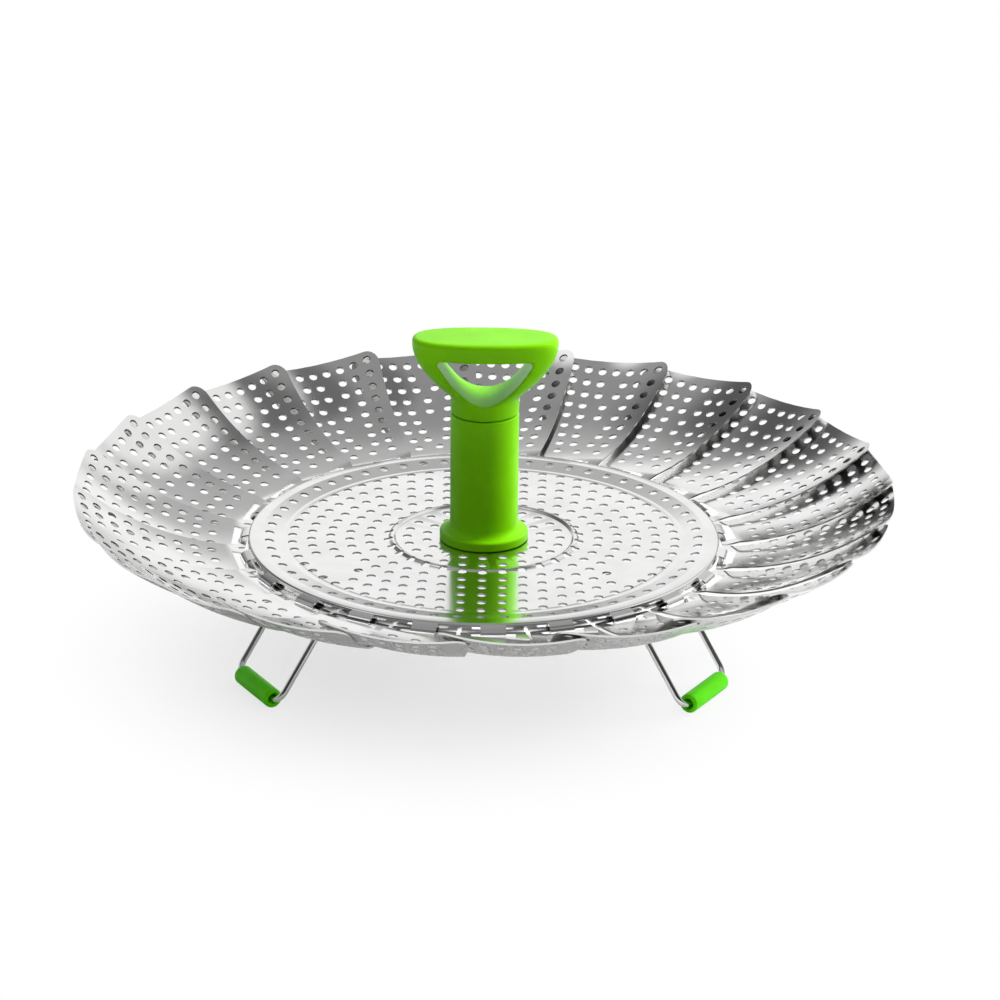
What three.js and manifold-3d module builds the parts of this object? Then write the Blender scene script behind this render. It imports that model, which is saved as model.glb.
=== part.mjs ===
// Folding petal steamer basket.
// A perforated steel plate carries a ring of overlapping petals on curled hinge tongues,
// a telescoping post with a D grip, and three wire legs that fold flat under the plate.
// Millimetres, +Z up. The origin is on the ground, under the middle of the plate.

import * as THREE from "three";
import { mergeGeometries, mergeVertices } from "three/addons/utils/BufferGeometryUtils.js";
import Module from "manifold-3d";

const wasm = await Module();
wasm.setup();

const DEGREE = Math.PI / 180;

// Clearances
const RUNNING_GAP = 0.3; // between pieces that turn or slide on each other
const SEAT_GAP = 0.2; // between pieces that rest on or are fixed to each other

// Base plate, one pressed sheet
const PLATE_SHEET = 0.6;
const FLOOR_RADIUS = 62.7;
const RAMP_WIDTH = 8.4;
const RAMP_RISE = 1.2;
const CREST_WIDTH = 1.7;
const SHOULDER = 0.5;
const SKIRT_DROP = 3.2;
const BEAD_RADIUS = 28.6;
const BEAD_WIDTH = 2.6;
const BEAD_RISE = 0.7;

// Perforations: a plain grid of square openings in place of the many round holes
const PLATE_OPENING = 6.2;
const PLATE_RING_PITCH = 11.96;
const PLATE_FIRST_RING = 2;
const PLATE_HOLES_PER_RING_STEP = 5;

// Petals and their hinges
const PETAL_COUNT = 23;
const PETAL_PHASE = 6.8 * DEGREE; // azimuth of the first petal
const PETAL_SHEET = 0.5;
const RIM_RADIUS = 127;
const ROOT_SLOPE = 1.5 * DEGREE;
const END_SLOPE = 38.5 * DEGREE;
const ROOT_TWIST = 0.083; // rise per millimetre across the leaf, up towards the clockwise edge
const RIM_TWIST = 0.091;
const ROOT_HOLLOW = 250; // radius of the cross curve of the leaf
const RIM_HOLLOW = 60;
const OPEN_ROOT_LAP = 0; // reach of the clockwise edge past the halfway line to the next petal
const OPEN_RIM_LAP = 2.2;
const COVERED_ROOT_LAP = 0.6; // and of the edge that lies under the petal before
const COVERED_RIM_LAP = 9;
const ROOT_RELIEF = 0.7; // hinge bar's end, short of the halfway line
const OPEN_CORNER = 3.6; // fall of the end corner that shows
const COVERED_CORNER = 4; // fall of the end corner that is covered
const CORNER_POWER = 8; // how suddenly the end corners turn
const LEAF_BENDS = 4; // facet rows along a leaf past its root
const LEAF_SHARES = [-1, -0.6, -0.24, 0.24, 0.66, 1]; // facet edges across a leaf
const HOLE_COLUMNS = [[1, 3], [2]]; // pierced facets of odd and even rows
const HOLE_FROM = 0.1; // an opening's two ends, as shares of its facet
const HOLE_TO = 0.42;
const HINGE_BAR = 1.8; // strip between the root edge and the hinge window
const TWIST_FROM = 0.7; // the bar is straight up to here
const TWIST_TO = 4.2; // and the twist is full from here
const HINGE_DROP = 0.8; // fall of the tongues from the crest to their curl
const TONGUE_WIDTH = 7.4;
const WINDOW_SIDE = 0.5;
const WINDOW_REACH = 3.8;
const CURL_STEP = 45 * DEGREE;
const TONGUE_CURLS = 4;

// Post, screwed to the plate
const POST_DIAMETER = 21.2;
const POST_BORE = 17;
const POST_HEIGHT = 41.2;
const POST_FLOOR = 5.6;
const FLANGE_DIAMETER = 27.6;
const FLANGE_THICKNESS = 2.9;
const FLANGE_FILLET = 2.6;
const COLLAR_HEIGHT = 4;
const INSERT_DIAMETER = 6.4;
const INSERT_LENGTH = 5;
const SCREW_DIAMETER = 4;
const SCREW_LENGTH = 5.6;
const SCREW_HEAD_DIAMETER = 7.6;
const SCREW_HEAD_HEIGHT = 2.4;
const SCREW_HEAD_FLAT = 5.4;
const WASHER_DIAMETER = 12;
const WASHER_THICKNESS = 1;

// Grip and its stem
const GRIP_WIDTH = 45.4;
const GRIP_DEPTH = 20.5;
const GRIP_HEIGHT = 24.4;
const NECK_HEIGHT = 5.6;
const GRIP_EDGE = 1.4;
const OPENING_WIDTH = 30.8;
const OPENING_TOP = 18.6;
const OPENING_BOTTOM = 4.8;
const STEM_DIAMETER = 12;
const STEM_TIP = 1.4;
const STEM_GROOVE_DEPTH = 1.4;
const SNAP_RING_DIAMETER = 16;
const SNAP_RING_THICKNESS = 1.6;
const SNAP_RING_MOUTH = 70 * DEGREE;

// Legs, brackets and feet
const LEG_COUNT = 3;
const LEG_AZIMUTH = 90 * DEGREE;
const LEG_HINGE_RADIUS = 57.4;
const LEG_LENGTH = 38.3;
const LEG_LEAN = 34.1 * DEGREE;
const LEG_SPAN = 28.3;
const WIRE_DIAMETER = 2;
const WIRE_BEND = 3;
const WIRE_GRIP = 4; // length of each wire end inside its bracket
const BRACKET_SHEET = 0.8;
const BRACKET_WIDTH = 13;
const BRACKET_TAB = 11;
const BRACKET_CURLS = 5;
const FOOT_DIAMETER = 6;
const FOOT_LENGTH = 21.6;
const FOOT_CHAMFER = 0.5;
const FOOT_SIDES = 12;

// Facets on round pieces
const PLATE_FACETS = 36;
const POST_FACETS = 24;
const SMALL_FACETS = 10;
const WIRE_FACETS = 6;
const BEND_STEPS = 3;
const FLARE_STEPS = 5;
const OPENING_STEPS = 10;
const SLOPE_STEP = 0.01; // for slopes taken by differences

// Heights and radii that follow from the sizes above
const LEG_AXIS_Z = FOOT_DIAMETER / 2 + LEG_LENGTH * Math.cos(LEG_LEAN);
const BRACKET_BORE = WIRE_DIAMETER / 2 + RUNNING_GAP;
const PLATE_UNDER_Z = LEG_AXIS_Z + BRACKET_BORE + BRACKET_SHEET + SEAT_GAP;
const PLATE_TOP_Z = PLATE_UNDER_Z + PLATE_SHEET;
const CREST_INNER_RADIUS = FLOOR_RADIUS + RAMP_WIDTH;
const CREST_MIDDLE_Z = PLATE_TOP_Z + RAMP_RISE - PLATE_SHEET / 2;
const SKIRT_RADIUS = CREST_INNER_RADIUS + CREST_WIDTH + SHOULDER;
const BAR_SWING = Math.hypot(HINGE_BAR, PETAL_SHEET) / 2;
const HINGE_RADIUS = SKIRT_RADIUS + PLATE_SHEET / 2 + RUNNING_GAP + BAR_SWING;
const TONGUE_CURL = BAR_SWING + RUNNING_GAP + PETAL_SHEET / 2;
const HINGE_Z = CREST_MIDDLE_Z - HINGE_DROP - TONGUE_CURL;
const LEG_STEP = (2 * Math.PI) / LEG_COUNT;
const PETAL_STEP = (2 * Math.PI) / PETAL_COUNT;
const PETAL_REACH = RIM_RADIUS - HINGE_RADIUS;
const ARC_RADIUS = PETAL_REACH / (Math.sin(END_SLOPE) - Math.sin(ROOT_SLOPE));
const POST_FOOT_Z = PLATE_TOP_Z + SEAT_GAP;
const POST_MOUTH_Z = POST_FOOT_Z + POST_HEIGHT;
const GRIP_FOOT_Z = POST_MOUTH_Z + SEAT_GAP;
const STEM_END_Z = POST_FOOT_Z + POST_FLOOR + RUNNING_GAP;
const GROOVE_Z = STEM_END_Z + STEM_TIP;
const GROOVE_HEIGHT = SNAP_RING_THICKNESS + 2 * SEAT_GAP;
const WASHER_TOP_Z = PLATE_UNDER_Z - SEAT_GAP;
const SCREW_SEAT_Z = WASHER_TOP_Z - WASHER_THICKNESS - SEAT_GAP;

const steel = new THREE.MeshStandardMaterial({ color: 0xc9cacb, roughness: 0.22, metalness: 1 });
const wireSteel = new THREE.MeshStandardMaterial({ color: 0xbfc0c2, roughness: 0.25, metalness: 1 });
const greenPlastic = new THREE.MeshStandardMaterial({ color: 0x63c80a, roughness: 0.35, metalness: 0 });
const greenSilicone = new THREE.MeshStandardMaterial({ color: 0x58c40c, roughness: 0.5, metalness: 0 });
const brass = new THREE.MeshStandardMaterial({ color: 0xb08d4a, roughness: 0.35, metalness: 1 });

// A closed geometry with shared vertices and outward faces, from any three.js geometry.
function closed(source) {
  const bare = source.clone();
  for (const name of Object.keys(bare.attributes)) {
    if (name !== "position") bare.deleteAttribute(name);
  }
  const merged = mergeVertices(bare, 1e-4);
  const corners = merged.index.array;
  const kept = [];
  for (let i = 0; i < corners.length; i += 3) {
    const [a, b, c] = [corners[i], corners[i + 1], corners[i + 2]];
    if (a !== b && b !== c && c !== a) kept.push(a, b, c);
  }
  merged.setIndex(signedVolume(merged, kept) < 0 ? kept.reverse() : kept);
  return merged;
}

function signedVolume(geometry, corners) {
  const place = geometry.attributes.position;
  const [a, b, c] = [new THREE.Vector3(), new THREE.Vector3(), new THREE.Vector3()];
  let total = 0;
  for (let i = 0; i < corners.length; i += 3) {
    a.fromBufferAttribute(place, corners[i]);
    b.fromBufferAttribute(place, corners[i + 1]);
    c.fromBufferAttribute(place, corners[i + 2]);
    total += a.dot(b.cross(c)) / 6;
  }
  return total;
}

function toSolid(geometry) {
  const shell = closed(geometry);
  return new wasm.Manifold(
    new wasm.Mesh({
      numProp: 3,
      vertProperties: new Float32Array(shell.attributes.position.array),
      triVerts: new Uint32Array(shell.index.array),
    }),
  );
}

function toGeometry(solid) {
  const mesh = solid.getMesh();
  const geometry = new THREE.BufferGeometry();
  geometry.setAttribute("position", new THREE.BufferAttribute(mesh.vertProperties, 3));
  geometry.setIndex(new THREE.BufferAttribute(mesh.triVerts, 1));
  return geometry;
}

// Turn a closed profile of [radius, height] pairs round the Z axis.
function revolve(profile, facets) {
  const points = profile.map(([radius, height]) => new THREE.Vector2(radius, height));
  if (profile[0][0] > 0) points.push(points[0].clone());
  return new THREE.LatheGeometry(points, facets).rotateX(Math.PI / 2);
}

function ring(inner, outer, low, high, facets) {
  return revolve([[inner, low], [outer, low], [outer, high], [inner, high]], facets);
}

// The outline of a bent strip: its middle line, set off by half the thickness to both sides.
function strip(middle, thickness) {
  const left = [];
  const right = [];
  middle.forEach(([x, y], i) => {
    const before = middle[Math.max(i - 1, 0)];
    const after = middle[Math.min(i + 1, middle.length - 1)];
    const along = new THREE.Vector2(x - before[0], y - before[1]).normalize();
    const onward = new THREE.Vector2(after[0] - x, after[1] - y).normalize();
    const way = along.clone().add(onward).normalize();
    const mitre = i === 0 || i === middle.length - 1 ? 1 : way.dot(onward);
    const side = new THREE.Vector2(-way.y, way.x).multiplyScalar(thickness / 2 / mitre);
    left.push([x + side.x, y + side.y]);
    right.unshift([x - side.x, y - side.y]);
  });
  return [...left, ...right];
}

// Points of a curl that starts along +X above the origin and turns down round it.
function curl(apothem, steps) {
  const radius = apothem / Math.cos(CURL_STEP / 2);
  return Array.from({ length: steps + 1 }, (_, i) => {
    const angle = Math.PI / 2 - CURL_STEP / 2 - i * CURL_STEP;
    return [radius * Math.cos(angle), radius * Math.sin(angle)];
  });
}

// Extrude an outline of the XZ plane to a given width along Y, centred on Y = 0.
function extrudeAcross(outline, width) {
  const shape = new THREE.Shape(outline.map(([x, z]) => new THREE.Vector2(x, z)));
  return new THREE.ExtrudeGeometry(shape, { depth: width, bevelEnabled: false })
    .translate(0, 0, -width / 2)
    .rotateX(Math.PI / 2);
}

function plateProfile() {
  const middle = [
    [SCREW_DIAMETER / 2 + RUNNING_GAP, 0],
    [BEAD_RADIUS - BEAD_WIDTH / 2, 0],
    [BEAD_RADIUS, BEAD_RISE],
    [BEAD_RADIUS + BEAD_WIDTH / 2, 0],
    [FLOOR_RADIUS, 0],
    [CREST_INNER_RADIUS, RAMP_RISE],
    [CREST_INNER_RADIUS + CREST_WIDTH, RAMP_RISE],
    [SKIRT_RADIUS, RAMP_RISE - SHOULDER],
    [SKIRT_RADIUS, RAMP_RISE - SKIRT_DROP],
  ];
  return strip(middle, PLATE_SHEET);
}

// Whether a place of the plate lies over one of the welded tabs of the legs.
function overTab(radius, azimuth) {
  const nearest = Math.round((azimuth - LEG_AZIMUTH) / LEG_STEP) * LEG_STEP + LEG_AZIMUTH;
  const aside = radius * Math.abs(Math.sin(azimuth - nearest));
  const reach = PLATE_OPENING / 2;
  const inward = radius + reach < LEG_HINGE_RADIUS - BRACKET_TAB;
  return !inward && aside < BRACKET_WIDTH / 2 + reach;
}

// Rings of openings round the post, each ring with a fixed number more than the one inside it.
function plateHoles() {
  const drills = [];
  const lastRing = Math.floor((FLOOR_RADIUS - PLATE_OPENING / 2) / PLATE_RING_PITCH);
  for (let step = PLATE_FIRST_RING; step <= lastRing; step++) {
    const count = PLATE_HOLES_PER_RING_STEP * step;
    for (let i = 0; i < count; i++) {
      const radius = step * PLATE_RING_PITCH;
      const azimuth = (2 * Math.PI * i) / count - Math.PI / 2;
      if (overTab(radius, azimuth)) continue;
      const drill = new THREE.BoxGeometry(PLATE_OPENING, PLATE_OPENING, 4 * PLATE_SHEET);
      drills.push(closed(drill.translate(radius, 0, 0).rotateZ(azimuth)));
    }
  }
  return toSolid(mergeGeometries(drills));
}

// Tongues that run out from the crest and curl down round the petals' hinge bars.
function hingeTongues() {
  const start = [CREST_INNER_RADIUS + CREST_WIDTH / 2 - HINGE_RADIUS, TONGUE_CURL + HINGE_DROP];
  const outline = strip([start, ...curl(TONGUE_CURL, TONGUE_CURLS)], PETAL_SHEET);
  const tongues = [];
  for (let i = 0; i < PETAL_COUNT; i++) {
    const tongue = extrudeAcross(outline, TONGUE_WIDTH).translate(HINGE_RADIUS, 0, 0);
    tongues.push(closed(tongue.rotateZ(PETAL_PHASE - i * PETAL_STEP)));
  }
  return toSolid(mergeGeometries(tongues)).translate(0, 0, HINGE_Z);
}

function basePlate() {
  const floorMiddle = PLATE_TOP_Z - PLATE_SHEET / 2;
  const pressed = toSolid(revolve(plateProfile(), PLATE_FACETS)).subtract(plateHoles());
  return toGeometry(pressed.translate(0, 0, floorMiddle).add(hingeTongues()));
}

// How far a reach lies along a stretch of the leaf, from 0 at its start to 1 at its end.
function partOf(reach, start, end) {
  return THREE.MathUtils.clamp((reach - start) / (end - start), 0, 1);
}

// Height of a leaf over its own flat frame: an arc along it, a twist and a hollow across it.
// Both come in past the hinge bar, so that the bar stays straight on its axis.
function leafHeight(reach, across) {
  const { lerp } = THREE.MathUtils;
  const sine = Math.sin(ROOT_SLOPE) + Math.max(reach, 0) / ARC_RADIUS;
  const arc = ARC_RADIUS * (Math.cos(ROOT_SLOPE) - Math.sqrt(1 - sine * sine));
  const along = partOf(reach, TWIST_TO, PETAL_REACH);
  const twist = lerp(ROOT_TWIST, RIM_TWIST, along);
  const hollow = lerp(1 / ROOT_HOLLOW, 1 / RIM_HOLLOW, along) / 2;
  return arc + partOf(reach, TWIST_FROM, TWIST_TO) * (twist + hollow * across) * across;
}

// Distance from a leaf's middle line to one of its sides: short of the halfway line to the
// next petal along the hinge bar, past it where the twist is full, and more so at the rim.
function sideWidth(reach, share) {
  const { lerp } = THREE.MathUtils;
  const open = share > 0;
  const root = open ? OPEN_ROOT_LAP : COVERED_ROOT_LAP;
  const rim = open ? OPEN_RIM_LAP : COVERED_RIM_LAP;
  const lap = lerp(root, rim, partOf(reach, TWIST_TO, PETAL_REACH));
  const halfway = (HINGE_RADIUS + Math.max(reach, 0)) * Math.tan(PETAL_STEP / 2);
  return halfway + lerp(-ROOT_RELIEF, lap, partOf(reach, TWIST_FROM, TWIST_TO));
}

// The end of a leaf: on the rim circle, with both corners taken back.
function leafEnd(share) {
  const across = share * sideWidth(PETAL_REACH, share);
  const corner = share > 0 ? OPEN_CORNER : COVERED_CORNER;
  const fall = corner * Math.abs(share) ** CORNER_POWER;
  return Math.sqrt(RIM_RADIUS ** 2 - across ** 2) - HINGE_RADIUS - fall;
}

// Places of the facet rows along the leaf. The last row follows its end.
function leafReach(row, share) {
  if (row === 0) return -HINGE_BAR / 2;
  if (row === 1) return TWIST_FROM;
  const end = row === LEAF_BENDS + 2 ? leafEnd(share) : PETAL_REACH;
  return TWIST_TO + ((end - TWIST_TO) * (row - 2)) / LEAF_BENDS;
}

// The formed leaf before it is pierced: a grid over it, thickened along its normals.
function leafSheet() {
  const rows = LEAF_BENDS + 2;
  const columns = LEAF_SHARES.length - 1;
  const [top, under] = [PETAL_SHEET / 2, -PETAL_SHEET / 2].map((offset) =>
    Array.from({ length: rows + 1 }, (_, row) =>
      LEAF_SHARES.map((share) => {
        const reach = leafReach(row, share);
        return leafPoint(reach, share * sideWidth(reach, share), offset);
      }),
    ),
  );
  const triangles = [];
  const quad = (a, b, c, d) => triangles.push(a, b, c, a, c, d);
  for (let i = 0; i < rows; i++) {
    for (let j = 0; j < columns; j++) {
      quad(top[i][j], top[i][j + 1], top[i + 1][j + 1], top[i + 1][j]);
      quad(under[i][j], under[i + 1][j], under[i + 1][j + 1], under[i][j + 1]);
    }
    quad(top[i][0], top[i + 1][0], under[i + 1][0], under[i][0]);
    quad(top[i][columns], under[i][columns], under[i + 1][columns], top[i + 1][columns]);
  }
  for (let j = 0; j < columns; j++) {
    quad(top[0][j], under[0][j], under[0][j + 1], top[0][j + 1]);
    quad(top[rows][j], top[rows][j + 1], under[rows][j + 1], under[rows][j]);
  }
  return new THREE.BufferGeometry().setFromPoints(triangles);
}

// A point of the leaf in its own frame: X out along it, -Y towards its clockwise edge, Z up.
function leafPoint(reach, across, offset) {
  const height = leafHeight(reach, across);
  const alongSlope = (leafHeight(reach + SLOPE_STEP, across) - height) / SLOPE_STEP;
  const acrossSlope = (leafHeight(reach, across + SLOPE_STEP) - height) / SLOPE_STEP;
  const normal = new THREE.Vector3(-alongSlope, acrossSlope, 1).normalize();
  return new THREE.Vector3(reach, -across, height).addScaledVector(normal, offset);
}

// Openings, two then one in turn, each well inside one triangle of a facet.
function leafOpenings(stroke) {
  const { lerp } = THREE.MathUtils;
  const openings = [];
  for (let row = 0; row < LEAF_BENDS; row++) {
    const [near, far] = [HOLE_FROM, HOLE_TO].map((part) =>
      lerp(leafReach(row + 2, 0), leafReach(row + 3, 0), part),
    );
    for (const column of HOLE_COLUMNS[row % 2]) {
      const [left, right] = [HOLE_TO, HOLE_FROM].map((part) => {
        const share = lerp(LEAF_SHARES[column + 1], LEAF_SHARES[column], part);
        return share * sideWidth(near, share);
      });
      const opening = new THREE.BoxGeometry(far - near, right - left, stroke);
      openings.push(opening.translate((near + far) / 2, -(left + right) / 2, 0));
    }
  }
  return openings;
}

// Everything that is punched out of a leaf: its hinge window and its holes.
function leafPunches() {
  const bar = HINGE_BAR / 2;
  const stroke = 4 * leafHeight(PETAL_REACH, sideWidth(PETAL_REACH, 1));
  const window = new THREE.BoxGeometry(WINDOW_REACH - bar, TONGUE_WIDTH + 2 * WINDOW_SIDE, stroke);
  const punches = [window.translate((WINDOW_REACH + bar) / 2, 0, 0), ...leafOpenings(stroke)];
  return toSolid(mergeGeometries(punches.map(closed)));
}

function leaf() {
  return toGeometry(toSolid(leafSheet()).subtract(leafPunches()));
}

function postTube() {
  const radius = POST_DIAMETER / 2;
  const flange = FLANGE_DIAMETER / 2;
  const insertBore = INSERT_DIAMETER / 2 + SEAT_GAP;
  const fillet = Array.from({ length: BEND_STEPS + 1 }, (_, i) => {
    const angle = (Math.PI / 2) * (i / BEND_STEPS);
    return [
      radius + FLANGE_FILLET * (1 - Math.sin(angle)),
      FLANGE_THICKNESS + FLANGE_FILLET * (1 - Math.cos(angle)),
    ];
  });
  const profile = [
    [insertBore, 0],
    [flange, 0],
    [flange, FLANGE_THICKNESS],
    ...fillet,
    [radius, POST_HEIGHT],
    [POST_BORE / 2, POST_HEIGHT],
    [POST_BORE / 2, POST_FLOOR],
    [insertBore, POST_FLOOR],
  ];
  return revolve(profile, POST_FACETS).translate(0, 0, POST_FOOT_Z);
}

function postCollar() {
  const inner = STEM_DIAMETER / 2 + RUNNING_GAP;
  const outer = POST_BORE / 2 - SEAT_GAP;
  return ring(inner, outer, POST_MOUTH_Z - COLLAR_HEIGHT, POST_MOUTH_Z, POST_FACETS);
}

function threadInsert() {
  const inner = SCREW_DIAMETER / 2 + SEAT_GAP;
  return ring(inner, INSERT_DIAMETER / 2, POST_FOOT_Z, POST_FOOT_Z + INSERT_LENGTH, SMALL_FACETS);
}

function screwWasher() {
  const inner = SCREW_DIAMETER / 2 + RUNNING_GAP;
  return ring(inner, WASHER_DIAMETER / 2, WASHER_TOP_Z - WASHER_THICKNESS, WASHER_TOP_Z, SMALL_FACETS);
}

function fixingScrew() {
  const head = SCREW_HEAD_DIAMETER / 2;
  const profile = [
    [0, -SCREW_HEAD_HEIGHT],
    [SCREW_HEAD_FLAT / 2, -SCREW_HEAD_HEIGHT],
    [head, -SCREW_HEAD_HEIGHT / 2],
    [head, 0],
    [SCREW_DIAMETER / 2, 0],
    [SCREW_DIAMETER / 2, SCREW_LENGTH],
    [0, SCREW_LENGTH],
  ];
  return revolve(profile, SMALL_FACETS).translate(0, 0, SCREW_SEAT_Z);
}

// Oval sections stacked up from the round neck to the wide top of the grip.
function gripBody() {
  const neck = POST_DIAMETER / 2;
  const flareTop = GRIP_HEIGHT - 2 * GRIP_EDGE;
  const sections = [[0, neck, neck]];
  for (let i = 0; i <= FLARE_STEPS; i++) {
    const share = i / FLARE_STEPS;
    const wide = neck + (GRIP_WIDTH / 2 - neck) * (1 - (1 - share) ** 2);
    const deep = neck + (GRIP_DEPTH / 2 - neck) * share;
    sections.push([NECK_HEIGHT + (flareTop - NECK_HEIGHT) * share, wide, deep]);
  }
  for (const [drop, inset] of [[GRIP_EDGE / 2, GRIP_EDGE / 4], [0, GRIP_EDGE]]) {
    sections.push([GRIP_HEIGHT - drop, GRIP_WIDTH / 2 - inset, GRIP_DEPTH / 2 - inset]);
  }
  const corner = (section, i) => {
    const [height, wide, deep] = section;
    const angle = (2 * Math.PI * i) / POST_FACETS;
    return new THREE.Vector3(wide * Math.cos(angle), deep * Math.sin(angle), height);
  };
  const triangles = [];
  for (let i = 0; i < POST_FACETS; i++) {
    for (let k = 0; k + 1 < sections.length; k++) {
      const [low, high] = [sections[k], sections[k + 1]];
      const [a, b] = [corner(low, i), corner(low, i + 1)];
      const [c, d] = [corner(high, i + 1), corner(high, i)];
      triangles.push(a, b, c, a, c, d);
    }
    const last = sections[sections.length - 1];
    triangles.push(new THREE.Vector3(0, 0, 0), corner(sections[0], i + 1), corner(sections[0], i));
    triangles.push(new THREE.Vector3(0, 0, GRIP_HEIGHT), corner(last, i), corner(last, i + 1));
  }
  return new THREE.BufferGeometry().setFromPoints(triangles);
}

// The finger opening, flat above and a parabola below.
function gripOpening() {
  const half = OPENING_WIDTH / 2;
  const shape = new THREE.Shape();
  shape.moveTo(-half, OPENING_TOP);
  shape.quadraticCurveTo(0, 2 * OPENING_BOTTOM - OPENING_TOP, half, OPENING_TOP);
  shape.closePath();
  const depth = 2 * GRIP_DEPTH;
  return new THREE.ExtrudeGeometry(shape, { depth, bevelEnabled: false, curveSegments: OPENING_STEPS })
    .translate(0, 0, -depth / 2)
    .rotateX(Math.PI / 2);
}

function gripStem() {
  const radius = STEM_DIAMETER / 2;
  const waist = radius - STEM_GROOVE_DEPTH;
  const inside = GRIP_FOOT_Z + (OPENING_BOTTOM - SEAT_GAP) / 2;
  const profile = [
    [0, STEM_END_Z],
    [radius, STEM_END_Z],
    [radius, GROOVE_Z],
    [waist, GROOVE_Z],
    [waist, GROOVE_Z + GROOVE_HEIGHT],
    [radius, GROOVE_Z + GROOVE_HEIGHT],
    [radius, inside],
    [0, inside],
  ];
  return revolve(profile, POST_FACETS);
}

function grip() {
  const handle = toSolid(gripBody()).subtract(toSolid(gripOpening())).translate(0, 0, GRIP_FOOT_Z);
  return toGeometry(handle.add(toSolid(gripStem())));
}

// An open ring that snaps into the groove of the stem.
function snapRing() {
  const inner = STEM_DIAMETER / 2 - STEM_GROOVE_DEPTH + SEAT_GAP;
  const outer = SNAP_RING_DIAMETER / 2;
  const from = SNAP_RING_MOUTH / 2;
  const to = 2 * Math.PI - from;
  const shape = new THREE.Shape();
  shape.absarc(0, 0, outer, from, to, false);
  shape.absarc(0, 0, inner, to, from, true);
  shape.closePath();
  return new THREE.ExtrudeGeometry(shape, {
    depth: SNAP_RING_THICKNESS, bevelEnabled: false, curveSegments: SMALL_FACETS / 2,
  }).translate(0, 0, GROOVE_Z + SEAT_GAP);
}

// A wire through given stations, with a section at each of them and none between.
class BentWire extends THREE.Curve {
  constructor(stations) {
    super();
    this.stations = stations;
  }

  getPoint(t, target = new THREE.Vector3()) {
    const last = this.stations.length - 1;
    const i = Math.min(Math.floor(t * last), last - 1);
    return target.lerpVectors(this.stations[i], this.stations[i + 1], t * last - i);
  }

  getUtoTmapping(u) {
    return u;
  }
}

// Stations of a square bend of the wire from one straight run to the next.
function bend(before, corner, after) {
  const back = before.clone().sub(corner).normalize();
  const on = after.clone().sub(corner).normalize();
  return Array.from({ length: BEND_STEPS + 1 }, (_, i) => {
    const angle = (Math.PI / 2) * (i / BEND_STEPS);
    return corner
      .clone()
      .addScaledVector(back, WIRE_BEND * (1 - Math.sin(angle)))
      .addScaledVector(on, WIRE_BEND * (1 - Math.cos(angle)));
  });
}

function footPlace() {
  return new THREE.Vector3(LEG_LENGTH * Math.sin(LEG_LEAN), 0, -LEG_LENGTH * Math.cos(LEG_LEAN));
}

// One leg in its own frame: the hinge runs along Y through the origin, X points out.
function legWire() {
  const half = LEG_SPAN / 2;
  const tip = BRACKET_WIDTH / 2 - WIRE_GRIP;
  const foot = footPlace();
  const corners = [
    new THREE.Vector3(0, -tip, 0),
    new THREE.Vector3(0, -half, 0),
    new THREE.Vector3(foot.x, -half, foot.z),
    new THREE.Vector3(foot.x, half, foot.z),
    new THREE.Vector3(0, half, 0),
    new THREE.Vector3(0, tip, 0),
  ];
  const stations = [corners[0]];
  for (let i = 1; i + 1 < corners.length; i++) {
    stations.push(...bend(corners[i - 1], corners[i], corners[i + 1]));
  }
  stations.push(corners[corners.length - 1]);
  const section = new THREE.Shape().absarc(0, 0, WIRE_DIAMETER / 2, 0, 2 * Math.PI, false);
  return new THREE.ExtrudeGeometry(section, {
    steps: stations.length - 1,
    curveSegments: WIRE_FACETS / 2,
    extrudePath: new BentWire(stations),
  });
}

// A sleeve round the wire's cross bar, with one flat of its outside facing the ground.
function footSleeve() {
  const toCorner = 1 / Math.cos(Math.PI / FOOT_SIDES);
  const inner = (WIRE_DIAMETER / 2 + RUNNING_GAP) * toCorner;
  const outer = (FOOT_DIAMETER / 2) * toCorner;
  const half = FOOT_LENGTH / 2;
  const profile = [
    [inner, -half],
    [outer - FOOT_CHAMFER, -half],
    [outer, -half + FOOT_CHAMFER],
    [outer, half - FOOT_CHAMFER],
    [outer - FOOT_CHAMFER, half],
    [inner, half],
    [inner, -half],
  ].map(([radius, height]) => new THREE.Vector2(radius, height));
  return new THREE.LatheGeometry(profile, FOOT_SIDES, Math.PI / FOOT_SIDES);
}

// A welded tab under the plate that curls down round the ends of the wire.
function legBracket() {
  const apothem = BRACKET_BORE + BRACKET_SHEET / 2;
  const middle = [[-BRACKET_TAB, apothem], ...curl(apothem, BRACKET_CURLS)];
  return extrudeAcross(strip(middle, BRACKET_SHEET), BRACKET_WIDTH);
}

function node(name, geometry, material) {
  const mesh = new THREE.Mesh(closed(geometry), material);
  mesh.name = name;
  return mesh;
}

const basket = new THREE.Group();

basket.add(node("base_plate", basePlate(), steel));
basket.add(node("post_tube", postTube(), greenPlastic));
basket.add(node("post_collar", postCollar(), greenPlastic));
basket.add(node("thread_insert", threadInsert(), brass));
basket.add(node("fixing_screw", fixingScrew(), steel));
basket.add(node("screw_washer", screwWasher(), steel));
basket.add(node("grip", grip(), greenPlastic));
basket.add(node("snap_ring", snapRing(), steel));

const leafForm = leaf();
for (let i = 0; i < PETAL_COUNT; i++) {
  const petal = node(`petal_${String(i + 1).padStart(2, "0")}`, leafForm, steel);
  petal.position.set(HINGE_RADIUS, 0, HINGE_Z);
  const place = new THREE.Group();
  place.rotation.z = PETAL_PHASE - i * PETAL_STEP;
  place.add(petal);
  basket.add(place);
}

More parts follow.
